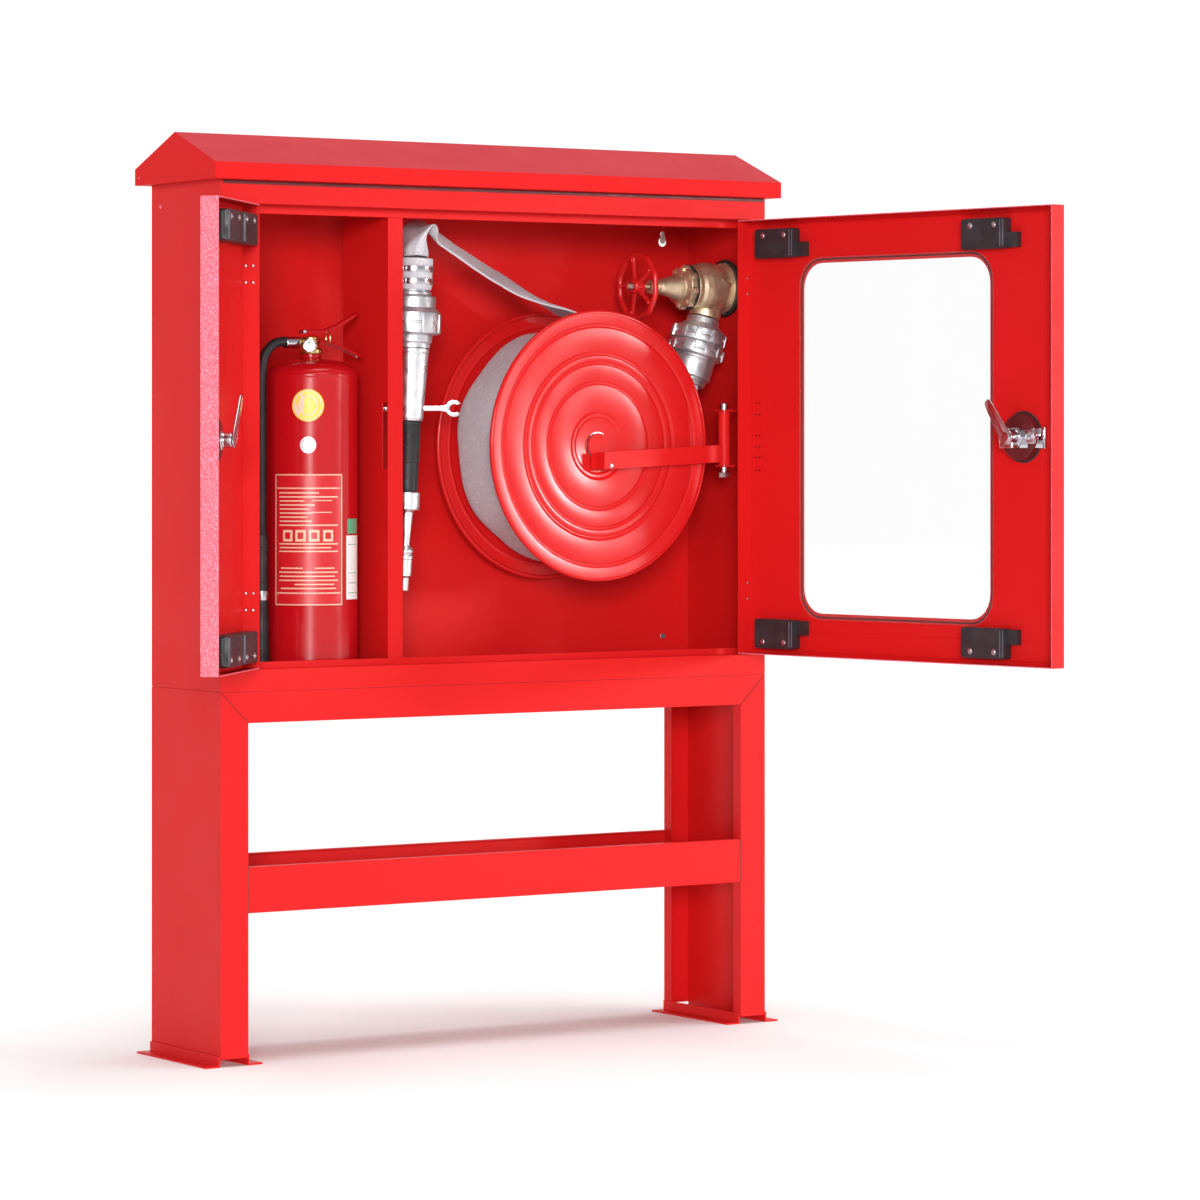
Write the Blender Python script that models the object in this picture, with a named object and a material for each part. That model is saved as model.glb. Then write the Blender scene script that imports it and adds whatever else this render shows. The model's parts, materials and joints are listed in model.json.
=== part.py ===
"""Standpipe cabinet: a free-standing steel fire cabinet on a stand.

The left compartment holds a powder extinguisher.  The right one holds a swing-out hose reel with lay-flat
hose, an angled landing valve, a branch pipe (nozzle) and a coupling spanner.  Metres, +Z up, front towards -Y.
Inside this file the cabinet runs from X = 0 to WIDTH and from Y = 0 (front) to DEPTH, with the floor at Z = 0.
"""
import math

import bmesh
import bpy
from mathutils import Euler, Matrix, Vector

# Driving dimensions of the casing
WIDTH = 1.050
DEPTH = 0.230
STAND_TOP = 0.590
BODY_TOP = 1.3975
SHEET = 0.0015
GAP = 0.0004
ORIGIN = (0.4858, -0.2350, 0.0)      # cabinet coordinates of the middle of the footprint, doors open

# Stand
STEEL = 0.002
LEG_FACE = 0.050
LEG_LIP = 0.022
LEG_BOTTOM = 0.0125
RAIL_LOW = 0.240
RAIL_HIGH = 0.313
RAIL_LIP = 0.012
FOOT_LEAF = 0.027
FOOT_STEEL = 0.003
FOOT_HEIGHT = 0.018

# Front frame
FLANGE_SIDE = 0.030
FLANGE_LOW = 0.0345
FLANGE_HIGH = 0.0372
REBATE = 0.030
LIP_SIDE = 0.0345
LIP_LOW = 0.0445
LIP_HIGH = 0.051

# Roof
EAVE = 0.020
FASCIA_LOW = 1.3970
FASCIA_HIGH = 1.4235
RIDGE = 1.477

# Divider
DIVIDER_X = 0.326
DIVIDER_FRONT = 0.033
DIVIDER_BACK = 0.177
DIVIDER_FLANGE = 0.028

# Doors, with every length measured from the hinge pin
PIN_INSET = 0.0312
PIN_FRONT = -0.0045
DOOR_LOW = 0.627
DOOR_HIGH = 1.3575
DOOR_START = 0.0013
LEFT_LENGTH = 0.265
RIGHT_LENGTH = 0.717
DOOR_FACE = 0.0045
DOOR_BACK = 0.0329
LEFT_REST = math.radians(-132.8)
RIGHT_REST = math.radians(98.3)
KNUCKLE = 0.0038
PIN = 0.0018
HINGES = (0.7315, 1.2475)
KNUCKLE_LENGTH = 0.026

# Locks: distance from the hinge pin, height, lever plane and lever length
LEFT_LOCK = dict(s=0.2200, z=0.9865, plane=0.0440, lever=0.084)
RIGHT_LOCK = dict(s=0.6330, z=0.9915, plane=0.0470, lever=0.071)
LEVER_REST = math.radians(35.0)
LEVER_THICK = 0.003
DISH_RADIUS = 0.0385

# Reel, measured from its pivot rod
PIVOT = (1.000, 0.049)
REEL_REST = math.radians(3.92)
HUB_X = -0.256
HUB_Z = 0.9777
DISC_RADIUS = 0.2265
REEL_FRONT = 0.009
REEL_BACK = 0.169
PACK_RADIUS = 0.198
AXLE = 0.009

# Landing valve
VALVE_Y = 0.110
VALVE_Z = 1.2475
HOSE_TILT = math.radians(17.0)
OUTLET = (1.000, VALVE_Y, 1.195)

# Lead of the hose: how far its front edge hangs down between the branch pipe and the reel
LEAD_LEAN = math.radians(30.0)

# Branch pipe
NOZZLE_TOP = (0.410, 0.090, 1.280)
NOZZLE_TILT = math.radians(2.11)

# Extinguisher
EXT = (0.2332, 0.1213)
EXT_RADIUS = 0.076

RED = (0.74, 0.012, 0.016, 1)
BRASS = (0.62, 0.42, 0.15, 1)
ALUMINIUM = (0.72, 0.73, 0.75, 1)
BLACK = (0.02, 0.02, 0.022, 1)
HOSE = (0.62, 0.62, 0.60, 1)
GLASS = (0.85, 0.93, 0.92, 1)


def clear_scene():
    for thing in list(bpy.data.objects):
        bpy.data.objects.remove(thing, do_unlink=True)


def material(name, colour, roughness, metallic):
    made = bpy.data.materials.new(name)
    made.use_nodes = True
    shader = made.node_tree.nodes["Principled BSDF"]
    shader.inputs["Base Color"].default_value = colour
    shader.inputs["Roughness"].default_value = roughness
    shader.inputs["Metallic"].default_value = metallic
    return made


# ---- shapes: each is a pair (points, faces) -------------------------------------------------------------

def box(x0, x1, y0, y1, z0, z1):
    points = [(x, y, z) for x in (x0, x1) for y in (y0, y1) for z in (z0, z1)]
    faces = [(0, 1, 3, 2), (4, 6, 7, 5), (0, 4, 5, 1), (2, 3, 7, 6), (0, 2, 6, 4), (1, 5, 7, 3)]
    return points, faces


def prism(outline, axis, low, high):
    """Extrudes a closed outline.  The outline's pairs are the two other coordinates, in X, Y, Z order."""
    place = {"X": lambda a, b, c: (c, a, b), "Y": lambda a, b, c: (a, c, b), "Z": lambda a, b, c: (a, b, c)}[axis]
    count = len(outline)
    points = [place(a, b, level) for level in (low, high) for a, b in outline]
    faces = [tuple(range(count)), tuple(range(count, 2 * count))]
    faces += [(i, (i + 1) % count, (i + 1) % count + count, i + count) for i in range(count)]
    return points, faces


def loft(rings, closed=False):
    """Joins rings of equal length with quads; an open loft gets an end face on its first and last ring."""
    count = len(rings[0])
    points = [point for ring in rings for point in ring]
    faces = []
    for level in range(len(rings) if closed else len(rings) - 1):
        start = level * count
        after = ((level + 1) % len(rings)) * count
        faces += [(start + i, start + (i + 1) % count, after + (i + 1) % count, after + i) for i in range(count)]
    if not closed:
        faces += [tuple(range(count)), tuple(range(len(points) - count, len(points)))]
    return points, faces


def turned(profile, segments=32, ring=False):
    """Turns (radius, height) pairs about Z.  A ring profile is closed and stays off the axis."""
    rings = []
    for radius, height in profile:
        angles = [2 * math.pi * i / segments for i in range(segments)]
        rings.append([(radius * math.cos(a), radius * math.sin(a), height) for a in angles])
    return loft(rings, closed=ring)


def moved(shape, matrix):
    points, faces = shape
    return [tuple(matrix @ Vector(point)) for point in points], faces


def along(start, direction):
    """The matrix that stands a shape's Z axis on a direction, from a start point."""
    turn = Vector((0, 0, 1)).rotation_difference(Vector(direction)).to_matrix().to_4x4()
    return Matrix.Translation(Vector(start)) @ turn


def arc(centre, radius, start, end, steps):
    """Points on an arc, angles in degrees."""
    angles = [math.radians(start + (end - start) * i / steps) for i in range(steps + 1)]
    return [(centre[0] + radius * math.cos(a), centre[1] + radius * math.sin(a)) for a in angles]


def rounded(x0, x1, z0, z1, radius, steps=6):
    """A rectangle outline with round corners."""
    corners = ((x1, z0, -90), (x1, z1, 0), (x0, z1, 90), (x0, z0, 180))
    outline = []
    for x, z, start in corners:
        centre = (x + (radius if x == x0 else -radius), z + (radius if z == z0 else -radius))
        outline += arc(centre, radius, start, start + 90, steps)
    return outline


def smooth_path(points, steps):
    """A Catmull-Rom curve through the points."""
    points = [Vector(p) for p in points]
    padded = [2 * points[0] - points[1]] + points + [2 * points[-1] - points[-2]]
    path = []
    for a, b, c, d in zip(padded, padded[1:], padded[2:], padded[3:]):
        for i in range(steps):
            t = i / steps
            path.append(0.5 * (2 * b + (c - a) * t + (2 * a - 5 * b + 4 * c - d) * t * t
                               + (3 * b - a - 3 * c + d) * t ** 3))
    return path + [points[-1]]


def swept(path, section, across=Vector((0, 1, 0))):
    """Sweeps a section along a path.  section(t) gives (width, thickness) offsets for t from 0 to 1."""
    rings = []
    for i, point in enumerate(path):
        ahead = path[min(i + 1, len(path) - 1)]
        behind = path[max(i - 1, 0)]
        tangent = (ahead - behind).normalized()
        up = tangent.cross(across).normalized()
        side = up.cross(tangent).normalized()
        rings.append([tuple(point + side * w + up * h) for w, h in section(i / (len(path) - 1))])
    return loft(rings)


def oval(width, thickness, steps=10):
    angles = [2 * math.pi * i / steps for i in range(steps)]
    return [(width / 2 * math.cos(a), thickness / 2 * math.sin(a)) for a in angles]


# ---- objects ---------------------------------------------------------------------------------------------

def mesh_object(name, shape):
    points, faces = shape
    mesh = bpy.data.meshes.new(name)
    mesh.from_pydata([tuple(p) for p in points], [], faces)
    work = bmesh.new()
    work.from_mesh(mesh)
    bmesh.ops.recalc_face_normals(work, faces=work.faces)
    work.to_mesh(mesh)
    work.free()
    made = bpy.data.objects.new(name, mesh)
    bpy.context.scene.collection.objects.link(made)
    return made


def node(name, look, shapes, cuts=(), at=(0, 0, 0), turn=(0, 0, 0), smooth=False):
    """One sub-part: the shapes welded together, less the cuts, placed by its location and rotation."""
    made = mesh_object(name, shapes[0])
    helpers = []
    for operation, group in (("UNION", shapes[1:]), ("DIFFERENCE", cuts)):
        for shape in group:
            helper = mesh_object(name + "_tool", shape)
            step = made.modifiers.new("join" if operation == "UNION" else "cut", "BOOLEAN")
            step.operation = operation
            step.solver = "EXACT"
            step.object = helper
            helpers.append(helper)
    if helpers:
        bpy.context.view_layer.update()
        graph = bpy.context.evaluated_depsgraph_get()
        welded = bpy.data.meshes.new_from_object(made.evaluated_get(graph))
        made.modifiers.clear()
        made.data = welded
        for helper in helpers:
            bpy.data.objects.remove(helper, do_unlink=True)
    made.data.materials.clear()
    made.data.materials.append(look)
    if smooth:
        made.data.shade_smooth()
        made.data.set_sharp_from_angle(angle=math.radians(35))
    made.location = [at[i] - ORIGIN[i] for i in range(3)]
    made.rotation_euler = turn
    return made


def mirrored(outline):
    """The same outline on the cabinet's other side."""
    return [(WIDTH - x, other) for x, other in outline]


# ---- stand -----------------------------------------------------------------------------------------------

def build_legs(red):
    channel = [(0, 0), (LEG_FACE, 0), (LEG_FACE, LEG_LIP), (LEG_FACE - STEEL, LEG_LIP),
               (LEG_FACE - STEEL, STEEL), (STEEL, STEEL), (STEEL, DEPTH - STEEL),
               (LEG_FACE - STEEL, DEPTH - STEEL), (LEG_FACE - STEEL, DEPTH - LEG_LIP),
               (LEG_FACE, DEPTH - LEG_LIP), (LEG_FACE, DEPTH), (0, DEPTH)]
    mitre = [(STEEL + 0.0002, STAND_TOP - 0.0026), (0.062, STAND_TOP - 0.0624),
             (0.062, STAND_TOP + 0.01), (STEEL + 0.0002, STAND_TOP + 0.01)]
    for name, turn_over in (("left_leg", lambda o: o), ("right_leg", mirrored)):
        node(name, red, [prism(turn_over(channel), "Z", LEG_BOTTOM, STAND_TOP - GAP)],
             [prism(turn_over(mitre), "Y", -0.01, DEPTH + 0.01)])


def build_rails(red):
    top = STAND_TOP - GAP
    low = STAND_TOP - LEG_FACE
    section = [(0, low), (LEG_LIP, low), (LEG_LIP, low + STEEL), (STEEL, low + STEEL), (STEEL, top - STEEL),
               (DEPTH - STEEL, top - STEEL), (DEPTH - STEEL, low + STEEL), (DEPTH - LEG_LIP, low + STEEL),
               (DEPTH - LEG_LIP, low), (DEPTH, low), (DEPTH, top), (0, top)]
    end = STEEL + 0.0006
    mitre = [(-0.01, low - 0.01), (LEG_FACE + 0.0102, low - 0.01), (end, STAND_TOP - 0.0024),
             (-0.01, STAND_TOP - 0.0024)]
    node("stand_top_rail", red, [prism(section, "X", end, WIDTH - end)],
         [prism(outline, "Y", -0.01, DEPTH + 0.01) for outline in (mitre, mirrored(mitre))])
    section = [(0, RAIL_LOW), (DEPTH, RAIL_LOW), (DEPTH, RAIL_HIGH), (DEPTH - RAIL_LIP, RAIL_HIGH),
               (DEPTH - RAIL_LIP, RAIL_HIGH - STEEL), (DEPTH - STEEL, RAIL_HIGH - STEEL),
               (DEPTH - STEEL, RAIL_LOW + STEEL), (STEEL, RAIL_LOW + STEEL), (STEEL, RAIL_HIGH - STEEL),
               (RAIL_LIP, RAIL_HIGH - STEEL), (RAIL_LIP, RAIL_HIGH), (0, RAIL_HIGH)]
    end = LEG_FACE + GAP
    node("stand_lower_rail", red, [prism(section, "X", end, WIDTH - end)])


def build_feet(red):
    outer = [(-GAP, 0), (-GAP, FOOT_HEIGHT), (-GAP - FOOT_STEEL, FOOT_HEIGHT), (-GAP - FOOT_STEEL, FOOT_STEEL),
             (-GAP - FOOT_LEAF, FOOT_STEEL), (-GAP - FOOT_LEAF, 0)]
    inner = [(LEG_FACE - x, z) for x, z in outer]
    for side, turn_over in (("left", lambda o: o), ("right", mirrored)):
        node(side + "_foot_outer", red, [prism(turn_over(outer), "Y", 0.0, DEPTH)])
        node(side + "_foot_inner", red, [prism(turn_over(inner), "Y", 0.002, DEPTH - 0.002)])


# ---- casing ----------------------------------------------------------------------------------------------

def cylinder(radius, low, high, segments=20):
    return turned([(radius, low), (radius, high)], segments)


def build_casing(red):
    inset = SHEET + GAP
    inner = (inset, WIDTH - inset, inset, DEPTH - inset)
    node("floor_panel", red, [box(*inner, STAND_TOP, STAND_TOP + SHEET)])
    node("ceiling_panel", red, [box(*inner, BODY_TOP - SHEET, BODY_TOP)])
    node("left_side_panel", red, [box(0, SHEET, inset, DEPTH, STAND_TOP, BODY_TOP)])
    pipe_hole = moved(cylinder(0.046, -0.01, 0.01, 32), along((WIDTH - SHEET, VALVE_Y, VALVE_Z), (1, 0, 0)))
    node("right_side_panel", red, [box(WIDTH - SHEET, WIDTH, inset, DEPTH, STAND_TOP, BODY_TOP)], [pipe_hole])
    cuts = []
    for x in (0.0545, WIDTH - 0.0545):
        for radius, height in ((0.008, 1.3300), (0.004, 1.3440)):
            cuts.append(moved(cylinder(radius, -0.01, 0.01, 16), along((x, DEPTH, height), (0, 1, 0))))
        cuts.append(box(x - 0.004, x + 0.004, DEPTH - 0.01, DEPTH + 0.01, 1.330, 1.344))
        cuts.append(moved(cylinder(0.004, -0.01, 0.01, 12), along((x, DEPTH, 0.648), (0, 1, 0))))
    back = box(inset, WIDTH - inset, DEPTH - SHEET, DEPTH, STAND_TOP, BODY_TOP)
    node("back_panel", red, [back], cuts)


def build_front_frame(red):
    """Flanges, rebate and lips as one mitred ring, with the fixed hinge knuckles and their pins."""
    fold = SHEET
    profile = [(0, 0, 0, 0), (FLANGE_SIDE, FLANGE_LOW, FLANGE_HIGH, 0),
               (FLANGE_SIDE, FLANGE_LOW, FLANGE_HIGH, REBATE), (LIP_SIDE, LIP_LOW, LIP_HIGH, REBATE),
               (LIP_SIDE, LIP_LOW, LIP_HIGH, REBATE + fold),
               (FLANGE_SIDE - fold, FLANGE_LOW - fold, FLANGE_HIGH - fold, REBATE + fold),
               (FLANGE_SIDE - fold, FLANGE_LOW - fold, FLANGE_HIGH - fold, fold), (0, 0, 0, fold)]
    rings = []
    for side, low, high, y in profile:
        rings.append([(side, y, STAND_TOP + low), (WIDTH - side, y, STAND_TOP + low),
                      (WIDTH - side, y, BODY_TOP - high), (side, y, BODY_TOP - high)])
    shapes = [loft(rings, closed=True)]
    for x, web in ((PIN_INSET, (0.0286, 0.0298)), (WIDTH - PIN_INSET, (WIDTH - 0.0298, WIDTH - 0.0286))):
        for height in HINGES:
            centre = Matrix.Translation((x, PIN_FRONT, height - GAP))
            shapes.append(moved(cylinder(KNUCKLE, -KNUCKLE_LENGTH, 0, 12), centre))
            shapes.append(moved(cylinder(PIN, -0.005, KNUCKLE_LENGTH - 0.003, 8), centre))
            shapes.append(box(*web, PIN_FRONT, 0.001, height - KNUCKLE_LENGTH, height - 0.002))
    node("front_frame", red, shapes)


def build_divider(red):
    low = STAND_TOP + SHEET + GAP
    high = BODY_TOP - SHEET - GAP
    right = DIVIDER_X + DIVIDER_FLANGE
    outline = [(DIVIDER_X, DIVIDER_FRONT), (right, DIVIDER_FRONT), (right, DIVIDER_FRONT + SHEET),
               (DIVIDER_X + SHEET, DIVIDER_FRONT + SHEET), (DIVIDER_X + SHEET, DIVIDER_BACK),
               (DIVIDER_X, DIVIDER_BACK)]
    slot = box(DIVIDER_X - 0.01, DIVIDER_X + 0.01, 0.0365, 0.0505, 0.940, 1.048)
    node("divider", red, [prism(outline, "Z", low, high)], [slot])


def build_roof(red):
    middle = DEPTH / 2

    def gable(shrink):
        left = -EAVE + shrink
        return [(left, FASCIA_LOW + shrink), (DEPTH - left, FASCIA_LOW + shrink),
                (DEPTH - left, FASCIA_HIGH - shrink * 0.6), (middle, RIDGE - shrink * 1.1),
                (left, FASCIA_HIGH - shrink * 0.6)]

    outside = prism(gable(0), "X", -EAVE, WIDTH + EAVE)
    hollow = prism(gable(SHEET), "X", -EAVE + SHEET, WIDTH + EAVE - SHEET)
    mouth = box(-0.0008, WIDTH + 0.0008, -0.0008, DEPTH + 0.0008, FASCIA_LOW - 0.01, FASCIA_LOW + 0.006)
    node("roof_cover", red, [outside], [hollow, mouth])


# ---- doors -----------------------------------------------------------------------------------------------

def tray(x0, x1, low, high):
    """A shallow sheet-metal tray: the skin with its four returns."""
    rings = []
    for inset, y in ((0, DOOR_FACE), (0, DOOR_BACK), (SHEET, DOOR_BACK), (SHEET, DOOR_FACE + SHEET)):
        rings.append([(x0 + inset, y, low + inset), (x1 - inset, y, low + inset),
                      (x1 - inset, y, high - inset), (x0 + inset, y, high - inset)])
    return loft(rings)


def door_knuckles(sign):
    """Knuckles that sit on the frame's pins, and the holes for the pins."""
    shapes = []
    cuts = []
    for height in HINGES:
        shapes.append(moved(cylinder(KNUCKLE, GAP, KNUCKLE_LENGTH, 12), Matrix.Translation((0, 0, height))))
        web = sorted((sign * (DOOR_START + 0.0001), sign * (DOOR_START + SHEET - 0.0001)))
        shapes.append(box(*web, 0, DOOR_FACE + 0.001, height + 0.002, height + KNUCKLE_LENGTH - 0.002))
        bore = cylinder(PIN + 0.0004, -0.01, KNUCKLE_LENGTH - 0.002, 8)
        cuts.append(moved(bore, Matrix.Translation((0, 0, height))))
    return shapes, cuts


def build_door(side, sign, length, rest, lock, look):
    pin = (PIN_INSET if sign > 0 else WIDTH - PIN_INSET, PIN_FRONT, 0)
    turn = (0, 0, rest)
    x0, x1 = sorted((sign * DOOR_START, sign * (DOOR_START + length)))
    shapes, bores = door_knuckles(sign)
    dish = along((sign * lock["s"], 0, lock["z"]), (0, 1, 0))
    cuts = bores + [moved(cylinder(DISH_RADIUS + 2 * GAP, -0.01, 0.012, 24), dish)]
    if side == "right":
        window = rounded(-0.560, -0.133, 0.6985, 1.2815, 0.042)
        cuts.append(prism(window, "Y", -0.01, 0.012))
        pane = rounded(-0.568, -0.125, 0.6880, 1.2915, 0.048)
        node("window_pane", look["glass"], [prism(pane, "Y", DOOR_FACE + SHEET + GAP, 0.0094)], (), pin, turn)
    node(side + "_door_leaf", look["red"], [tray(x0, x1, DOOR_LOW, DOOR_HIGH)] + shapes, cuts, pin, turn)

    # Lock: a dish sunk in the skin, a strap plate and a barrel with a bore for the lever's shaft.
    plane = lock["plane"]
    cup = [(DISH_RADIUS, 0.0046), (DISH_RADIUS - 0.003, 0.019), (0.011, 0.0192), (0.011, plane - GAP),
           (0.0052, plane - GAP), (0.0052, 0.017), (DISH_RADIUS - 0.005, 0.017), (DISH_RADIUS - 0.002, 0.0046)]
    strap = box(-0.036, 0.036, -0.0105, 0.0105, 0.0188, 0.0218)
    bore = cylinder(0.0052, 0.01, 0.06, 12)
    node(side + "_lock", look["chrome"], [moved(turned(cup, 20, ring=True), dish), moved(strap, dish)],
         [moved(bore, dish)], pin, turn, smooth=True)

    # Latch lever: it points up at rest; the shaft ends in the turn handle inside the dish.
    reach = lock["lever"]
    blade = [(-0.0085, -0.006), (0.0085, -0.006), (0.0085, 0.010), (0.0060, reach - 0.008),
             (0.0035, reach), (-0.0035, reach), (-0.0060, reach - 0.008), (-0.0085, 0.010)]
    forward = along((0, 0, 0), (0, 1, 0))
    lever = [prism(blade, "Y", plane, plane + LEVER_THICK), moved(cylinder(0.0095, plane, plane + 0.0034, 14), forward),
             moved(cylinder(0.0046, 0.010, plane + 0.001, 12), forward),
             prism(rounded(-0.0065, 0.0065, -0.024, 0.024, 0.005, 3), "Y", 0.0052, 0.0150)]
    place = Euler(turn).to_matrix() @ Vector((sign * lock["s"], 0, 0))
    at = (pin[0] + place.x, pin[1] + place.y, lock["z"])
    node(side + "_latch_lever", look["chrome"], lever, (), at, (0, -sign * LEVER_REST, rest))


def build_blocks(black):
    """Black corner blocks on the inner side of both skins: a plate and a tab."""
    low = (0.6375, 0.6865)
    high = (1.2925, 1.3415)
    places = []
    for row, (z0, z1) in (("lower", low), ("upper", high)):
        for number, (s0, s1) in enumerate(((0.030, 0.124), (0.510, 0.606)), 1):
            places.append((f"right_block_{row}_{number}", -1, s0, s1, 0.022, z0, z1, row))
        for number, (s0, s1, tab) in enumerate(((0.0055, 0.100, 0.0), (0.1055, 0.200, 0.0225)), 1):
            places.append((f"left_block_{row}_{number}", 1, s0, s1, tab, z0, z1, row))
    front = DOOR_FACE + SHEET + GAP
    for name, sign, s0, s1, tab, z0, z1, row in places:
        pin = (PIN_INSET if sign > 0 else WIDTH - PIN_INSET, PIN_FRONT, 0)
        rest = LEFT_REST if sign > 0 else RIGHT_REST
        shapes = [prism(rounded(*sorted((sign * s0, sign * s1)), z0, z1, 0.004, 2), "Y", front, front + 0.015)]
        if tab:
            tab_z = (z0 + 0.0015, z0 + 0.0255) if row == "upper" else (z1 - 0.0255, z1 - 0.0015)
            shapes.append(box(*sorted((sign * (s1 - 0.002), sign * (s1 + tab))), front, front + 0.010, *tab_z))
        node(name, black, shapes, (), pin, (0, 0, rest))


# ---- reel ------------------------------------------------------------------------------------------------

def disc_profile(front, out):
    """A dished, ribbed disc with a rolled rim.  out is -1 when the dish opens towards the front."""
    steps = ((0.975, 0.0035), (0.77, 0.0035), (0.735, 0.0055), (0.60, 0.0055), (0.56, 0.0075), (0.31, 0.0075),
             (0.27, 0.0120), (0.05, 0.0120))
    face = [(DISC_RADIUS * r, front - out * depth) for r, depth in steps]
    back = [(r, y - out * SHEET) for r, y in reversed(face)]
    bead = arc((DISC_RADIUS - 0.0042, front - out * 0.0042), 0.0042, out * 100, -out * 150, 5)
    return back[:-1] + [(face[0][0], face[0][1] - out * SHEET)] + list(reversed(bead)) + face


def build_reel(look):
    turn = (0, 0, REEL_REST)
    at = (PIVOT[0], PIVOT[1], 0)
    spin_at = (PIVOT[0] + HUB_X * math.cos(REEL_REST), PIVOT[1] + HUB_X * math.sin(REEL_REST), HUB_Z)
    to_y = along((0, 0, 0), (0, 1, 0))

    wall = WIDTH - SHEET - GAP
    shapes = [box(wall - 0.003, wall, 0.036, 0.076, 0.925, 1.055)]
    for z in (0.943, 1.037):
        shapes.append(box(0.9885, wall - 0.001, 0.038, 0.060, z - 0.0015, z + 0.0015))
    hole = moved(cylinder(0.0074, 0.9, 1.1), Matrix.Translation((*PIVOT, 0)))
    node("reel_bracket", look["red"], shapes, [hole])
    rod = [(0.0062, 0.925), (0.0070, 0.9262), (0.0070, 1.0495), (0.0055, 1.0510)]
    node("pivot_rod", look["chrome"], [turned(rod, 16)], (), at, (0, 0, 0), smooth=True)

    # Arm: a sleeve on the rod, a flat bar, a tab bent back to the hub plate, and the axle.
    sleeve = [(0.0105, 0.9449), (0.0105, 1.0351), (0.0074, 1.0351), (0.0074, 0.9449)]
    tilt = 0.012
    bar = [(HUB_X - 0.006, 0.0), (-0.0090, tilt), (-0.0090, tilt + 0.029), (HUB_X - 0.006, 0.029)]
    bar = [(x, z + 0.938) for x, z in bar]
    arm = [turned(sleeve, 16, ring=True), prism(bar, "Y", -0.0080, -0.0030),
           box(HUB_X - 0.006, HUB_X - 0.001, -0.0080, 0.0175, 0.9385, 0.9665),
           moved(cylinder(0.021, 0.0152, 0.0188), along((HUB_X, 0, HUB_Z), (0, 1, 0))),
           box(HUB_X - 0.014, HUB_X + 0.014, 0.0154, 0.0186, 0.9385, HUB_Z),
           moved(cylinder(AXLE, 0.017, 0.1665), along((HUB_X, 0, HUB_Z), (0, 1, 0)))]
    node("reel_arm", look["red"], arm, (), at, turn)

    drum = [(0.045, 0.0242), (0.045, 0.1538), (AXLE + GAP, 0.1538), (AXLE + GAP, 0.1508), (0.043, 0.1508),
            (0.043, 0.0272), (AXLE + GAP, 0.0272), (AXLE + GAP, 0.0242)]
    node("reel_drum", look["red"], [moved(turned(drum, 24, ring=True), to_y)], (), spin_at, turn, smooth=True)
    for name, front, out in (("reel_front_disc", REEL_FRONT, -1), ("reel_rear_disc", REEL_BACK, 1)):
        profile = disc_profile(front, out)
        node(name, look["red"], [moved(turned(profile, 40, ring=True), to_y)], (), spin_at, turn, smooth=True)
    pack = [(0.0456, 0.0250), (PACK_RADIUS - 0.004, 0.0250), (PACK_RADIUS, 0.029), (PACK_RADIUS, 0.149),
            (PACK_RADIUS - 0.004, 0.1530), (0.0456, 0.1530)]
    node("hose_pack", look["hose"], [moved(turned(pack, 40, ring=True), to_y)], (), spin_at, turn, smooth=True)


# ---- landing valve ---------------------------------------------------------------------------------------

def lugs(count, radius, size, low, high, start=0.0):
    """Square lugs round a coupling ring."""
    made = []
    for i in range(count):
        angle = start + 2 * math.pi * i / count
        lug = box(radius - size, radius, -size / 2, size / 2, low, high)
        made.append(moved(lug, Matrix.Rotation(angle, 4, "Z")))
    return made


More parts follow.
